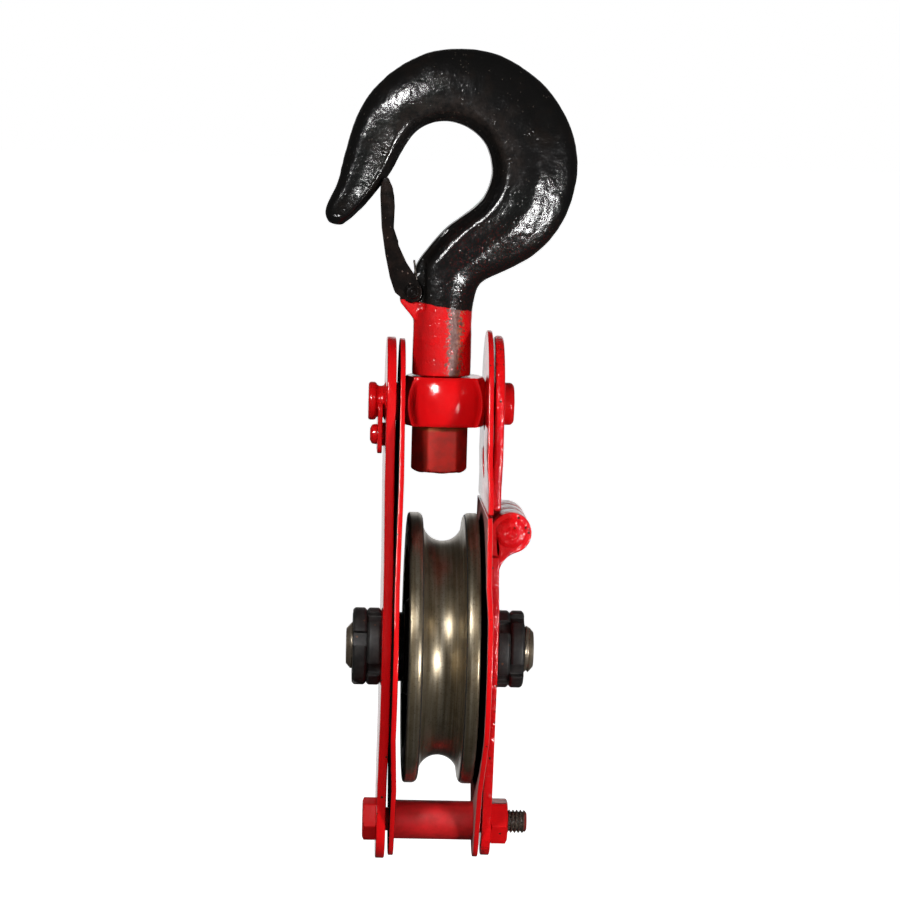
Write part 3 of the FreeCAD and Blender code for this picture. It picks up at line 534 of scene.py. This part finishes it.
def rounded(corners, steps=5):
    """Outline through (a, b, fillet) corners, each turned into an arc of that radius."""
    outline = []
    count = len(corners)
    for i, (a, b, fillet) in enumerate(corners):
        here = Vector((a, b))
        if not fillet:
            outline.append(here)
            continue
        before = Vector(corners[i - 1][:2]) - here
        after = Vector(corners[(i + 1) % count][:2]) - here
        half = before.angle(after) / 2
        reach = fillet / math.tan(half)
        start = here + before.normalized() * reach
        end = here + after.normalized() * reach
        middle = here + (before.normalized() + after.normalized()).normalized() * (fillet / math.sin(half))
        for step in range(steps + 1):
            arm = (start - middle).lerp(end - middle, step / steps).normalized() * fillet
            outline.append(middle + arm)
    return outline


def turned(outline, middle, steps, closed=True):
    """Mesh of an (x, radius) outline in millimetres, turned about the X axis through middle."""
    vertices = []
    for i in range(steps):
        angle = math.tau * i / steps
        for x, radius in outline:
            vertices.append((x * MM, middle.y + radius * MM * math.sin(angle),
                             middle.z + radius * MM * math.cos(angle)))
    count = len(outline)
    faces = []
    for i in range(steps):
        a = i * count
        b = (i + 1) % steps * count
        for j in range(count if closed else count - 1):
            k = (j + 1) % count
            faces.append((a + j, a + k, b + k, b + j))
    mesh = mesh_of(vertices, faces)
    return cleaned(mesh)


def cleaned(mesh):
    """Merges coincident points, drops what they leave and turns every face outwards."""
    bm = bmesh.new()
    bm.from_mesh(mesh)
    bmesh.ops.remove_doubles(bm, verts=bm.verts, dist=1e-7)
    bmesh.ops.dissolve_degenerate(bm, edges=bm.edges, dist=1e-8)
    bmesh.ops.recalc_face_normals(bm, faces=bm.faces)
    bm.to_mesh(mesh)
    bm.free()
    return mesh


def threaded_bar(x0, x1, radius, threads, pitch, depth, middle, sides=96):
    """Round bar along X, millimetres; each (start, end) in threads carries a real helix."""
    fine = pitch / 9
    coarse = 2.0
    end_length = 3.0
    chamfer_slope = 1.15
    places = []
    x = x0
    while x < x1:
        places.append(x)
        near_thread = any(start - pitch <= x <= end + pitch for start, end in threads)
        near_end = min(x - x0, x1 - x) < end_length
        x += fine if near_thread or near_end else coarse
    places.append(x1)
    chamfer = 0.22 * radius
    vertices = []
    for x in places:
        inward = min(x - x0, x1 - x)
        limit = radius - max(0.0, chamfer - inward) * chamfer_slope
        for i in range(sides):
            turn = i / sides
            local = radius
            for start, end in threads:
                if start < x < end:
                    fade = min(1.0, (x - start) / pitch, (end - x) / pitch + 0.35)
                    phase = ((x - start) / pitch - turn) % 1.0
                    ridge = max(0.0, min(1.0, 1.25 - abs(phase - 0.5) * 3.0))
                    local = radius - depth * fade * (1 - ridge)
            local = min(local, limit)
            angle = math.tau * turn
            vertices.append((x * MM, middle.y + local * MM * math.sin(angle),
                             middle.z + local * MM * math.cos(angle)))
    faces = []
    for row in range(len(places) - 1):
        for i in range(sides):
            k = (i + 1) % sides
            a = row * sides
            b = a + sides
            faces.append((a + i, a + k, b + k, b + i))
    # Each end closes through a ring and a slightly domed middle.
    dome = 0.35
    for end_row, outward in ((0, -1), (len(places) - 1, 1)):
        previous = [end_row * sides + i for i in range(sides)]
        rim = radius - chamfer * chamfer_slope
        for share in (0.92, 0.75, 0.5, 0.25):
            start = len(vertices)
            rise = outward * dome * (1 - share * share) * MM
            edge_x = places[end_row] * MM - outward * dome * MM
            for i in range(sides):
                angle = math.tau * i / sides
                vertices.append((edge_x + rise, middle.y + rim * share * MM * math.sin(angle),
                                 middle.z + rim * share * MM * math.cos(angle)))
            ring = [start + i for i in range(sides)]
            for i in range(sides):
                k = (i + 1) % sides
                faces.append((previous[i], previous[k], ring[k], ring[i]))
            previous = ring
        vertices.append((places[end_row] * MM, middle.y, middle.z))
        tip = len(vertices) - 1
        for i in range(sides):
            faces.append((previous[i], previous[(i + 1) % sides], tip))
    return cleaned(mesh_of(vertices, faces))


def hexagon(across, x0, x1, middle, turn, chamfered, bore=0.0):
    """Hexagon along X, millimetres, its chamfers cut as cones so that each face ends in a curve."""
    per_side = 12
    sides = 6 * per_side
    corner_round = 0.985
    plain_break = 0.25
    flat = across / 2
    reach = []
    for i in range(sides):
        angle = math.radians(60 * i / per_side)
        local = (angle % math.radians(60)) - math.radians(30)
        reach.append(min(flat / math.cos(local), corner_round * flat / math.cos(math.radians(30))))
    face_radius = flat - 0.35
    slope = 0.5
    least_bore = 0.02
    inner = bore if bore else least_bore
    stacks = []
    for x, sign, cut in ((x0, 1, "low" in chamfered), (x1, -1, "high" in chamfered)):
        stack = [[(x, inner)] * sides]
        if cut:
            stack.append([(x, face_radius)] * sides)
            for share in (0.5, 1.0):
                stack.append([(x + sign * (r - face_radius) * slope * share,
                               face_radius + (r - face_radius) * share) for r in reach])
        else:
            stack.append([(x, r - plain_break) for r in reach])
            stack.append([(x + sign * plain_break, r) for r in reach])
        stacks.append(stack)
    order = stacks[0] + stacks[1][::-1]
    vertices = []
    for ring_points in order:
        for i, (x, radius) in enumerate(ring_points):
            angle = math.radians(60 * i / per_side + turn)
            vertices.append((x * MM, middle.y + radius * MM * math.cos(angle),
                             middle.z + radius * MM * math.sin(angle)))
    faces = []
    count = len(order)
    for row in range(count if bore else count - 1):
        a = row * sides
        b = (row + 1) % count * sides
        for i in range(sides):
            k = (i + 1) % sides
            faces.append((a + i, a + k, b + k, b + i))
    if not bore:
        faces.append(tuple(range(sides)))
        faces.append(tuple(range((count - 1) * sides, count * sides)))
    return cleaned(mesh_of(vertices, faces))


def tube(points, radius):
    """Round wire through the points, in metres, with closed rounded ends."""
    sides = 12
    last = len(points) - 1
    vertices = []
    rows = []
    side = Vector((0, 0, 1))
    for i, point in enumerate(points):
        ahead = points[min(i + 1, last)] - points[max(i - 1, 0)]
        ahead.normalize()
        side = (side - ahead * side.dot(ahead)).normalized()
        other = ahead.cross(side)
        rings = [(1.0, 0.0)]
        if i == 0:
            rings = [(0.45, -0.85), (0.85, -0.5), (1.0, 0.0)]
        elif i == last:
            rings = [(1.0, 0.0), (0.85, 0.5), (0.45, 0.85)]
        for share, shift in rings:
            rows.append(len(vertices))
            for k in range(sides):
                angle = math.tau * k / sides
                arm = side * math.cos(angle) + other * math.sin(angle)
                vertices.append(point + ahead * radius * shift + arm * radius * share)
    faces = [tuple(range(sides)), tuple(range(rows[-1], rows[-1] + sides))]
    for a, b in zip(rows, rows[1:]):
        for k in range(sides):
            m = (k + 1) % sides
            faces.append((a + k, a + m, b + m, b + k))
    return cleaned(mesh_of(vertices, faces))


# ---------------------------------------------------------------- hook, latch and spring
# Inner and outer edge of the hook in its own plane, as (x, z), from the shank round to the nose.
FLANK = [
    ((-12.4, -84.0), (12.4, -84.0)), ((-12.6, -73.0), (13.0, -74.5)), ((-12.2, -61.5), (16.0, -67.3)),
    ((-7.3, -53.5), (24.5, -62.6)), ((0.4, -44.6), (34.0, -57.6)), ((8.6, -38.2), (43.5, -49.6)),
    ((15.4, -31.6), (51.2, -37.2)), ((18.9, -21.8), (55.0, -20.0)), ((16.8, -10.8), (51.9, -1.4)),
    ((10.6, -3.6), (39.3, 17.0)), ((1.4, 0.0), (18.0, 29.2)), ((-7.8, -1.3), (-7.0, 29.1)),
    ((-14.2, -5.6), (-26.0, 18.6)), ((-18.8, -12.4), (-37.0, 4.2)), ((-23.2, -21.4), (-42.6, -13.0)),
    ((-28.4, -28.8), (-45.6, -26.2)), ((-34.4, -36.2), (-49.6, -35.2)), ((-39.6, -41.5), (-50.6, -39.9)),
]


def flank_place(points):
    """(how far along FLANK, how far across it) for each (x, z) in metres; along is -1 off the flank."""
    along = np.full(len(points), -1.0)
    across = np.zeros(len(points))
    inner = np.array([pair[0] for pair in FLANK]) * MM
    outer = np.array([pair[1] for pair in FLANK]) * MM
    middle = (inner + outer) / 2
    width = outer - inner
    for i in range(len(FLANK) - 1):
        forward = middle[i + 1] - middle[i]
        normals = []
        for k in (i, i + 1):
            normal = np.array((-width[k][1], width[k][0]))
            normal *= np.sign(normal @ forward) / np.linalg.norm(normal)
            normals.append(normal)
        before = (points - middle[i]) @ normals[0]
        after = (points - middle[i + 1]) @ normals[1]
        share = before / np.maximum(before - after, 1e-9)
        start = inner[i] + (inner[i + 1] - inner[i]) * share[:, None]
        span = width[i] + (width[i + 1] - width[i]) * share[:, None]
        position = ((points - start) * span).sum(axis=1) / (span * span).sum(axis=1)
        inside = (before >= 0) & (after < 0) & (position > -0.25) & (position < 1.25)
        along[inside] = i + share[inside]
        across[inside] = position[inside]
    return along, across


def bump_between(value, low, high, ease):
    """1 between low and high, falling smoothly to 0 over ease each side."""
    rise = np.clip((value - low + ease) / ease, 0, 1)
    fall = np.clip((high + ease - value) / ease, 0, 1)
    return rise * rise * (3 - 2 * rise) * fall * fall * (3 - 2 * fall)


# How much thicker the forging is than its plain section, by the share of the way across.  The bow
# has a ridge near its inner edge, a shallow valley and a broad outer slope; the arm has a sloping
# face, a step and a rounded outer edge.
BOW_SECTION = [(0.0, 1.0), (0.08, 1.07), (0.14, 1.067), (0.19, 1.064), (0.23, 1.046), (0.28, 1.017),
               (0.33, 0.989), (0.38, 0.975), (0.44, 0.98), (0.5, 0.998), (0.55, 1.009), (0.6, 0.995),
               (0.65, 0.973), (0.7, 0.952), (0.75, 0.939), (0.8, 0.937), (0.85, 0.951), (0.9, 0.98),
               (1.0, 1.0)]
ARM_SECTION = [(0.0, 1.0), (0.08, 1.1), (0.15, 1.12), (0.2, 1.11), (0.25, 1.055), (0.3, 0.985), (0.35, 0.93),
               (0.4, 0.888), (0.45, 0.852), (0.5, 0.828), (0.55, 0.818), (0.6, 0.825), (0.7, 0.875),
               (0.78, 0.935), (0.84, 0.965), (0.9, 0.96), (1.0, 0.95)]


def smooth_table(table, across):
    """Value at each share of the way across, on a curve eased round the table's corners."""
    steps = 400
    window = 25
    grid = np.linspace(-0.1, 1.1, steps)
    rough = np.interp(grid, [row[0] for row in table], [row[1] for row in table])
    weights = np.hanning(window)
    padded = np.pad(rough, window // 2, mode="edge")
    eased = np.convolve(padded, weights / weights.sum(), mode="valid")
    return np.interp(across, grid, eased)


def shape_flanks(mesh):
    """Gives the plain section its ridge, valley and slopes."""
    count = len(mesh.vertices)
    places = np.empty(count * 3)
    mesh.vertices.foreach_get("co", places)
    places = places.reshape(count, 3)
    along, across = flank_place(places[:, [0, 2]])
    fuller_bow = smooth_table(BOW_SECTION, across)
    fuller_arm = smooth_table(ARM_SECTION, across)
    bow_part = bump_between(along, 3.0, 8.6, 1.6)
    arm_part = bump_between(along, 13.7, 16.4, 1.8)
    places[:, 1] *= 1 + (fuller_bow - 1) * bow_part + (fuller_arm - 1) * arm_part
    mesh.vertices.foreach_set("co", places.ravel())


def make_hook():
    nose = (Vector((-45.3, 0, -39.3)) * MM, 5.3 * MM)
    mesh = remeshed("hook", 0.62, 7, nose)
    shape_flanks(mesh)
    mesh.update()
    stem_reach = 14 * MM
    latch_reach = 9 * MM
    top_of_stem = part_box("crosshead")[1].z

    def rough(place):
        """Forged skin everywhere but on the turned stem and beside the latch."""
        if place.z < top_of_stem + stem_reach:
            return 0.25
        return 0.4 if (place - pivot).length < latch_reach else 1.0

    rumpled(mesh, [(13, 0.20), (4.6, 0.08), (2.2, 0.08)], rough)
    low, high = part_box("hook")
    for vertex in mesh.vertices:
        vertex.co = Vector([min(max(value, a), b) for value, a, b in zip(vertex.co, low, high)])
    return piece("hook_forging", mesh, "hook", ["hook"], ["forging"], sharp=None)


def make_rivet():
    """Headed rivet; each head has a turned ring round its middle."""
    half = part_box("latch_rivet")[1].y / MM
    head = [(0.0, 0.0), (2.0, 0.0), (2.0, half - 1.3), (3.0, half - 1.2), (2.9, half - 0.5),
            (2.5, half - 0.1), (1.9, half), (1.6, half - 0.35), (1.2, half - 0.4), (0.9, half - 0.1),
            (0.4, half), (0.0, half)]
    outline = [(y, r) for r, y in head[1:]]
    mirrored = [(-y, r) for y, r in outline[::-1]]
    # Turned about X, then swung so that the rivet lies along Y.
    mesh = turned(mirrored + outline, Vector((0, 0, 0)), 40, closed=False)
    mesh.transform(Matrix.Translation(pivot) @ Matrix.Rotation(math.radians(90), 4, "Z"))
    return piece("latch_rivet_turned", mesh, "hook", ["latch_rivet"], ["sheet"])


def make_spring():
    """Two coils of wire, one each side of the ear, joined by a bar behind the latch's web."""
    wire = 0.45 * MM
    coil = 3.1 * MM
    inner = 4.35 * MM
    pitch = 1.0 * MM
    closeness = 0.62
    turns = 1.75
    bend = pivot + Vector((-4.9, 0, 11.5)) * MM
    steps = 90
    coils = []
    for side in (-1, 1):
        points = []
        for i in range(steps + 1):
            angle = math.radians(35) + math.tau * turns * i / steps
            y = side * (inner + pitch * turns * i / steps * closeness)
            points.append(pivot + Vector((coil * math.cos(angle), y, coil * math.sin(angle))))
        spike = [pivot + Vector(step) * MM for step in ((0.4, -5.8, 13.1), (0.9, -5.8, 9.6), (1.3, -5.7, 6.6),
                                                        (2.1, -5.1, 3.2))]
        points = spike + points if side < 0 else points
        points.append(bend + Vector((0, side * 5.3, -2.0)) * MM)
        points.append(bend + Vector((0, side * 4.9, 0)) * MM)
        coils.append(points)
    bar = coils[0] + coils[1][::-1]
    return piece("latch_spring_wire", tube(bar, wire), "hook", ["latch_spring"], ["wire"])


# ---------------------------------------------------------------- painted parts
def make_plates():
    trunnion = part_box("keeper_plate")[1].z / MM
    axle = axle_centre.z / MM
    tie = tie_centre.z / MM
    from_axle = 32
    above_tie = 18
    left_bends = (trunnion - 30, axle + from_axle, axle - from_axle, tie + above_tie)
    right_bends = (axle + 20, axle - from_axle, tie + above_tie)
    link_bends = (trunnion - 22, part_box("link_cheek")[0].z / MM + 10)
    soft_bend = 3.0
    rows = [
        ("left_strap", "side_frame", 0.6, left_bends, "face", "edge"),
        # The left cheek's faces carry painted shade in black.
        ("left_cheek", "side_frame", 0.4, left_bends, "painted_shade", "edge"),
        ("right_strap", "side_frame", 0.6, right_bends, "face", "knuckle"),
        # The right cheek's face carries painted shade beside the sheave and painted reflection beyond it.
        ("right_cheek", "side_frame", 0.4, right_bends, "shade_and_reflection", "edge"),
        ("link_strap", "side_link", 1.4, link_bends, "face", "knuckle"),
        ("link_cheek", "side_link", 0.5, link_bends, "face", "edge"),
    ]
    for node, body, width, bends, face_paint, edge_paint in rows:
        cuts = [(bend + shift) * MM for bend in bends for shift in (-soft_bend, soft_bend)]
        softened(node, node + "_painted", body, [face_paint, edge_paint], width, True, cuts)


def make_crosshead():
    mesh = remeshed("crosshead", 0.5, 5)
    sheave_offset = 0.8 * MM
    keeper_half = 10.7 * MM
    middle = Vector((centre("sheave").x - sheave_offset, 0, centre("keeper_plate").z + keeper_half))
    front = 17.4 * MM
    flat = 12 * MM
    crown_x = 21 * MM
    crown_z = 27 * MM
    for vertex in mesh.vertices:
        offset = vertex.co - middle
        if abs(offset.y) > flat:
            fall = offset.x ** 2 / (2 * crown_x) + offset.z ** 2 / (2 * crown_z)
            share = min(1.0, (abs(offset.y) - flat) / (front - flat))
            vertex.co.y -= math.copysign(fall * share, offset.y)
    rumpled(mesh, [(9, 0.10), (3.5, 0.07)])
    return piece("crosshead_casting", mesh, "crosshead", ["crosshead"], ["casting"],
                 sharp=None)


def make_small_painted():
    softened("hook_nut", "hook_nut_painted", "hook", ["nut"], 0.8)
    softened("hook_latch", "hook_latch_sheet", "latch", ["sheet"], 0.3)
    softened("hinge_pin", "hinge_pin_painted", "side_frame", ["knuckle"], 0.5)
    softened("keeper_plate", "keeper_plate_painted", "side_frame", ["edge"], 0.4)
    softened("keeper_washer", "keeper_washer_painted", "side_frame", ["edge"], 0.2)
    low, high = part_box("keeper_screw")
    middle = centre("keeper_screw")
    tip = low.x / MM
    end = high.x / MM
    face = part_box("keeper_plate")[0].x / MM
    outline = rounded([(tip, 0.0, 0), (tip, 2.5, 0.8), (tip + 0.9, 4.1, 0.9), (face, 4.4, 0.3),
                       (face, 2.5, 0), (end, 2.5, 0), (end, 0.0, 0)])
    mesh = turned(outline, middle, 48, closed=False)
    piece("keeper_screw_domed", mesh, "side_frame", ["keeper_screw"], ["edge"])


# ---------------------------------------------------------------- turned parts
def make_sheave():
    low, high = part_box("sheave_bush")
    x = (low.x + high.x) / 2 / MM
    hub = (high.x - low.x) / 2 / MM
    bore = radius_of("sheave_bush") / MM
    rim = 57.5
    half = 14.75
    groove = 8.5
    groove_centre = 54.0
    lip = 2.5
    web = 10.5
    right = [(hub, bore, 0.4), (hub, 19.5, 0.8), (web, 22.5, 2.0), (web, 40.5, 2.0), (half, 43.5, 0.8),
             (half, rim, 1.1), (groove + 0.2, rim, lip)]
    arc_steps = 36
    bottom = []
    for i in range(arc_steps + 1):
        angle = math.pi * i / arc_steps
        bottom.append((groove * math.cos(angle), groove_centre - groove * math.sin(angle), 0))
    left = [(-a, b, fillet) for a, b, fillet in right[::-1]]
    outline = [(x + a, b) for a, b in rounded(right + bottom + left, 6)]
    mesh = turned(outline, axle_centre, 288)
    # The second material is painted shade on the sheave's sides.
    return piece("sheave_turned", mesh, "sheave", ["sheave"], ["sheave", "oxide_and_shade"])


def shade_sheave_sides(sheave):
    """The sheave's side faces and everything inside the rim's root take the dark oxide finish: painted shade
    for their shadowed sides.
    """
    inner_edge = 43.0 * MM
    outer_edge = 56.6 * MM
    hub_part = 9 * MM
    for face in sheave.data.polygons:
        offset = face.center - axle_centre
        away = math.hypot(offset.y, offset.z)
        on_side = abs(face.normal.x) > 0.5 and abs(offset.x) > hub_part and away < outer_edge
        if on_side or away < inner_edge:
            face.material_index = 1


def make_turned():
    shade_sheave_sides(make_sheave())
    for side in ("left", "right"):
        low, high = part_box(side + "_collar")
        outer = radius_of(side + "_collar") / MM
        a = low.x / MM
        b = high.x / MM
        outline = rounded([(a, 10.0, 0), (a, outer, 0.3), (b, outer, 0.3), (b, 10.0, 0)], 3)
        piece(side + "_collar_turned", turned(outline, axle_centre, 96), "side_frame",
              [side + "_collar"], ["oxide_and_shade"])
        for place in ("inner", "outer"):
            node = side + "_" + place + "_nut"
            softened(node, node + "_slotted", "side_frame", ["oxide_and_shade"], 0.4)
    low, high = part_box("axle")
    root_depth = 0.9
    tip = 0.8
    threads = [(low.x / MM + tip, -23.2), (28.0, high.x / MM - tip)]
    bar = threaded_bar(low.x / MM, high.x / MM, 10.0, threads, 2.5, root_depth, axle_centre, 120)
    piece("axle_threaded", bar, "side_frame", ["axle"], ["axle"])
    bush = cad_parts["sheave_bush"].data
    bush.materials.clear()
    bush.materials.append(PAINT["bronze"])


def make_tie():
    low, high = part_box("tie_spacer")
    outer = radius_of("tie_spacer") / MM
    a = low.x / MM
    b = high.x / MM
    outline = rounded([(a, 5.0, 0), (a, outer, 0.35), (b, outer, 0.35), (b, 5.0, 0)], 3)
    spacer = turned(outline, tie_centre, 96)
    piece("tie_spacer_tube", spacer, "side_frame", ["tie_spacer"], ["satin"])
    low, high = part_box("tie_nut")
    nut = hexagon(17.6, low.x / MM, high.x / MM, tie_centre, 4, ("low", "high"), bore=5.0)
    piece("tie_nut_painted", nut, "side_frame", ["tie_nut"], ["edge"])
    bolt_low, bolt_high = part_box("tie_bolt")
    head_height = 5.7
    head_in = bolt_low.x / MM + head_height
    head = hexagon(16.2, bolt_low.x / MM, head_in, tie_centre, 10, ("low",))
    root_depth = 0.85
    threads = [(low.x / MM - 2.0, bolt_high.x / MM - 0.4)]
    shank = threaded_bar(head_in - 1.0, bolt_high.x / MM, 5.0, threads, 1.6, root_depth, tie_centre, 64)
    piece("tie_bolt_threaded", joined(head, shank), "side_frame", ["tie_bolt"], ["bolt"])


# ---------------------------------------------------------------- studio
def aimed(location, target):
    return (Vector(target) - Vector(location)).to_track_quat("-Z", "Y")


def make_camera():
    focal = 148.0
    distance = 1.567
    left = math.radians(2.4)
    above = math.radians(5.5)
    roll = math.radians(1.55)
    target = Vector((4.6, 0.0, -138.5)) * MM
    back = Vector((-math.sin(left) * math.cos(above), -math.cos(left) * math.cos(above), math.sin(above)))
    data = bpy.data.cameras.new("camera")
    data.sensor_width = 36.0
    data.lens = focal
    data.clip_start = 0.05
    data.clip_end = 60.0
    camera = bpy.data.objects.new("camera", data)
    bpy.context.scene.collection.objects.link(camera)
    camera.location = target + back * distance
    camera.rotation_mode = "QUATERNION"
    level = aimed(camera.location, target)
    camera.rotation_quaternion = level @ Matrix.Rotation(roll, 3, "Z").to_quaternion()
    bpy.context.scene.camera = camera


def area_light(name, azimuth, elevation, distance, width, height, power, mirrored=True):
    """Soft light aimed at the block; azimuth is from the front towards +X, in degrees."""
    turn = math.radians(azimuth)
    lift = math.radians(elevation)
    target = axle_centre.lerp(Vector((0, 0, 0)), 0.4)
    direction = Vector((math.sin(turn) * math.cos(lift), -math.cos(turn) * math.cos(lift), math.sin(lift)))
    place = axle_centre + distance * direction
    data = bpy.data.lights.new(name, "AREA")
    data.shape = "RECTANGLE"
    data.size = width
    data.size_y = height
    data.energy = power
    light = bpy.data.objects.new(name, data)
    bpy.context.scene.collection.objects.link(light)
    light.location = place
    light.visible_glossy = mirrored
    light.visible_camera = False
    light.rotation_mode = "QUATERNION"
    light.rotation_quaternion = aimed(place, target)


def make_world():
    """Dim studio with a pale wall behind the block; the camera sees plain white."""
    world = bpy.data.worlds.new("studio")
    bpy.context.scene.world = world
    world.use_nodes = True
    tree = world.node_tree
    tree.nodes.clear()

    def node(kind, **settings):
        made = tree.nodes.new("ShaderNode" + kind)
        for key, value in settings.items():
            setattr(made, key, value)
        return made

    direction = node("TexCoord")
    split = node("SeparateXYZ")
    wall = node("MapRange", interpolation_type="SMOOTHSTEP")
    wall_limits = (0.90, 0.985)
    brightness = (0.05, 1.3)
    for socket, value in zip(list(wall.inputs)[1:5], wall_limits + brightness):
        socket.default_value = value
    room = node("Background")
    white = node("Background")
    white.inputs[0].default_value = (1, 1, 1, 1)
    seen = node("LightPath")
    mix = node("MixShader")
    output = node("OutputWorld")
    links = tree.links
    links.new(direction.outputs["Generated"], split.inputs[0])
    links.new(split.outputs[1], wall.inputs[0])
    links.new(wall.outputs[0], room.inputs[1])
    links.new(seen.outputs["Is Camera Ray"], mix.inputs[0])
    links.new(room.outputs[0], mix.inputs[1])
    links.new(white.outputs[0], mix.inputs[2])
    links.new(mix.outputs[0], output.inputs[0])


def make_floor():
    below = 0.25
    half = 30.0
    grid = 12
    height = cad_box[0][2] - below
    vertices = []
    for row in range(grid + 1):
        for column in range(grid + 1):
            vertices.append((half * (2 * column / grid - 1), half * (2 * row / grid - 1), height))
    faces = []
    for row in range(grid):
        for column in range(grid):
            a = row * (grid + 1) + column
            faces.append((a, a + 1, a + grid + 2, a + grid + 1))
    mesh = mesh_of(vertices, faces)
    mesh.materials.append(pale_floor())
    floor = bpy.data.objects.new("floor", mesh)
    bpy.context.scene.collection.objects.link(floor)
    floor.visible_glossy = False
    floor.visible_diffuse = False


def make_studio():
    make_camera()
    make_world()
    make_floor()
    area_light("key_left", -24, 29, 0.95, 0.13, 0.13, 6.5)
    area_light("key_right", 38, -6, 0.90, 0.13, 0.13, 7)
    area_light("front_fill", 4, 4, 1.9, 1.4, 1.4, 10, mirrored=False)
    area_light("left_fill", -100, 20, 1.9, 1.4, 1.4, 1.8, mirrored=False)
    area_light("right_fill", 100, 20, 1.9, 1.4, 1.4, 1.8, mirrored=False)
    area_light("back_fill", 180, 20, 1.9, 1.4, 1.4, 4, mirrored=False)
    bpy.context.scene.view_settings.view_transform = "Standard"


make_hook()
make_rivet()
make_spring()
make_plates()
make_crosshead()
make_small_painted()
make_turned()
make_tie()
make_studio()
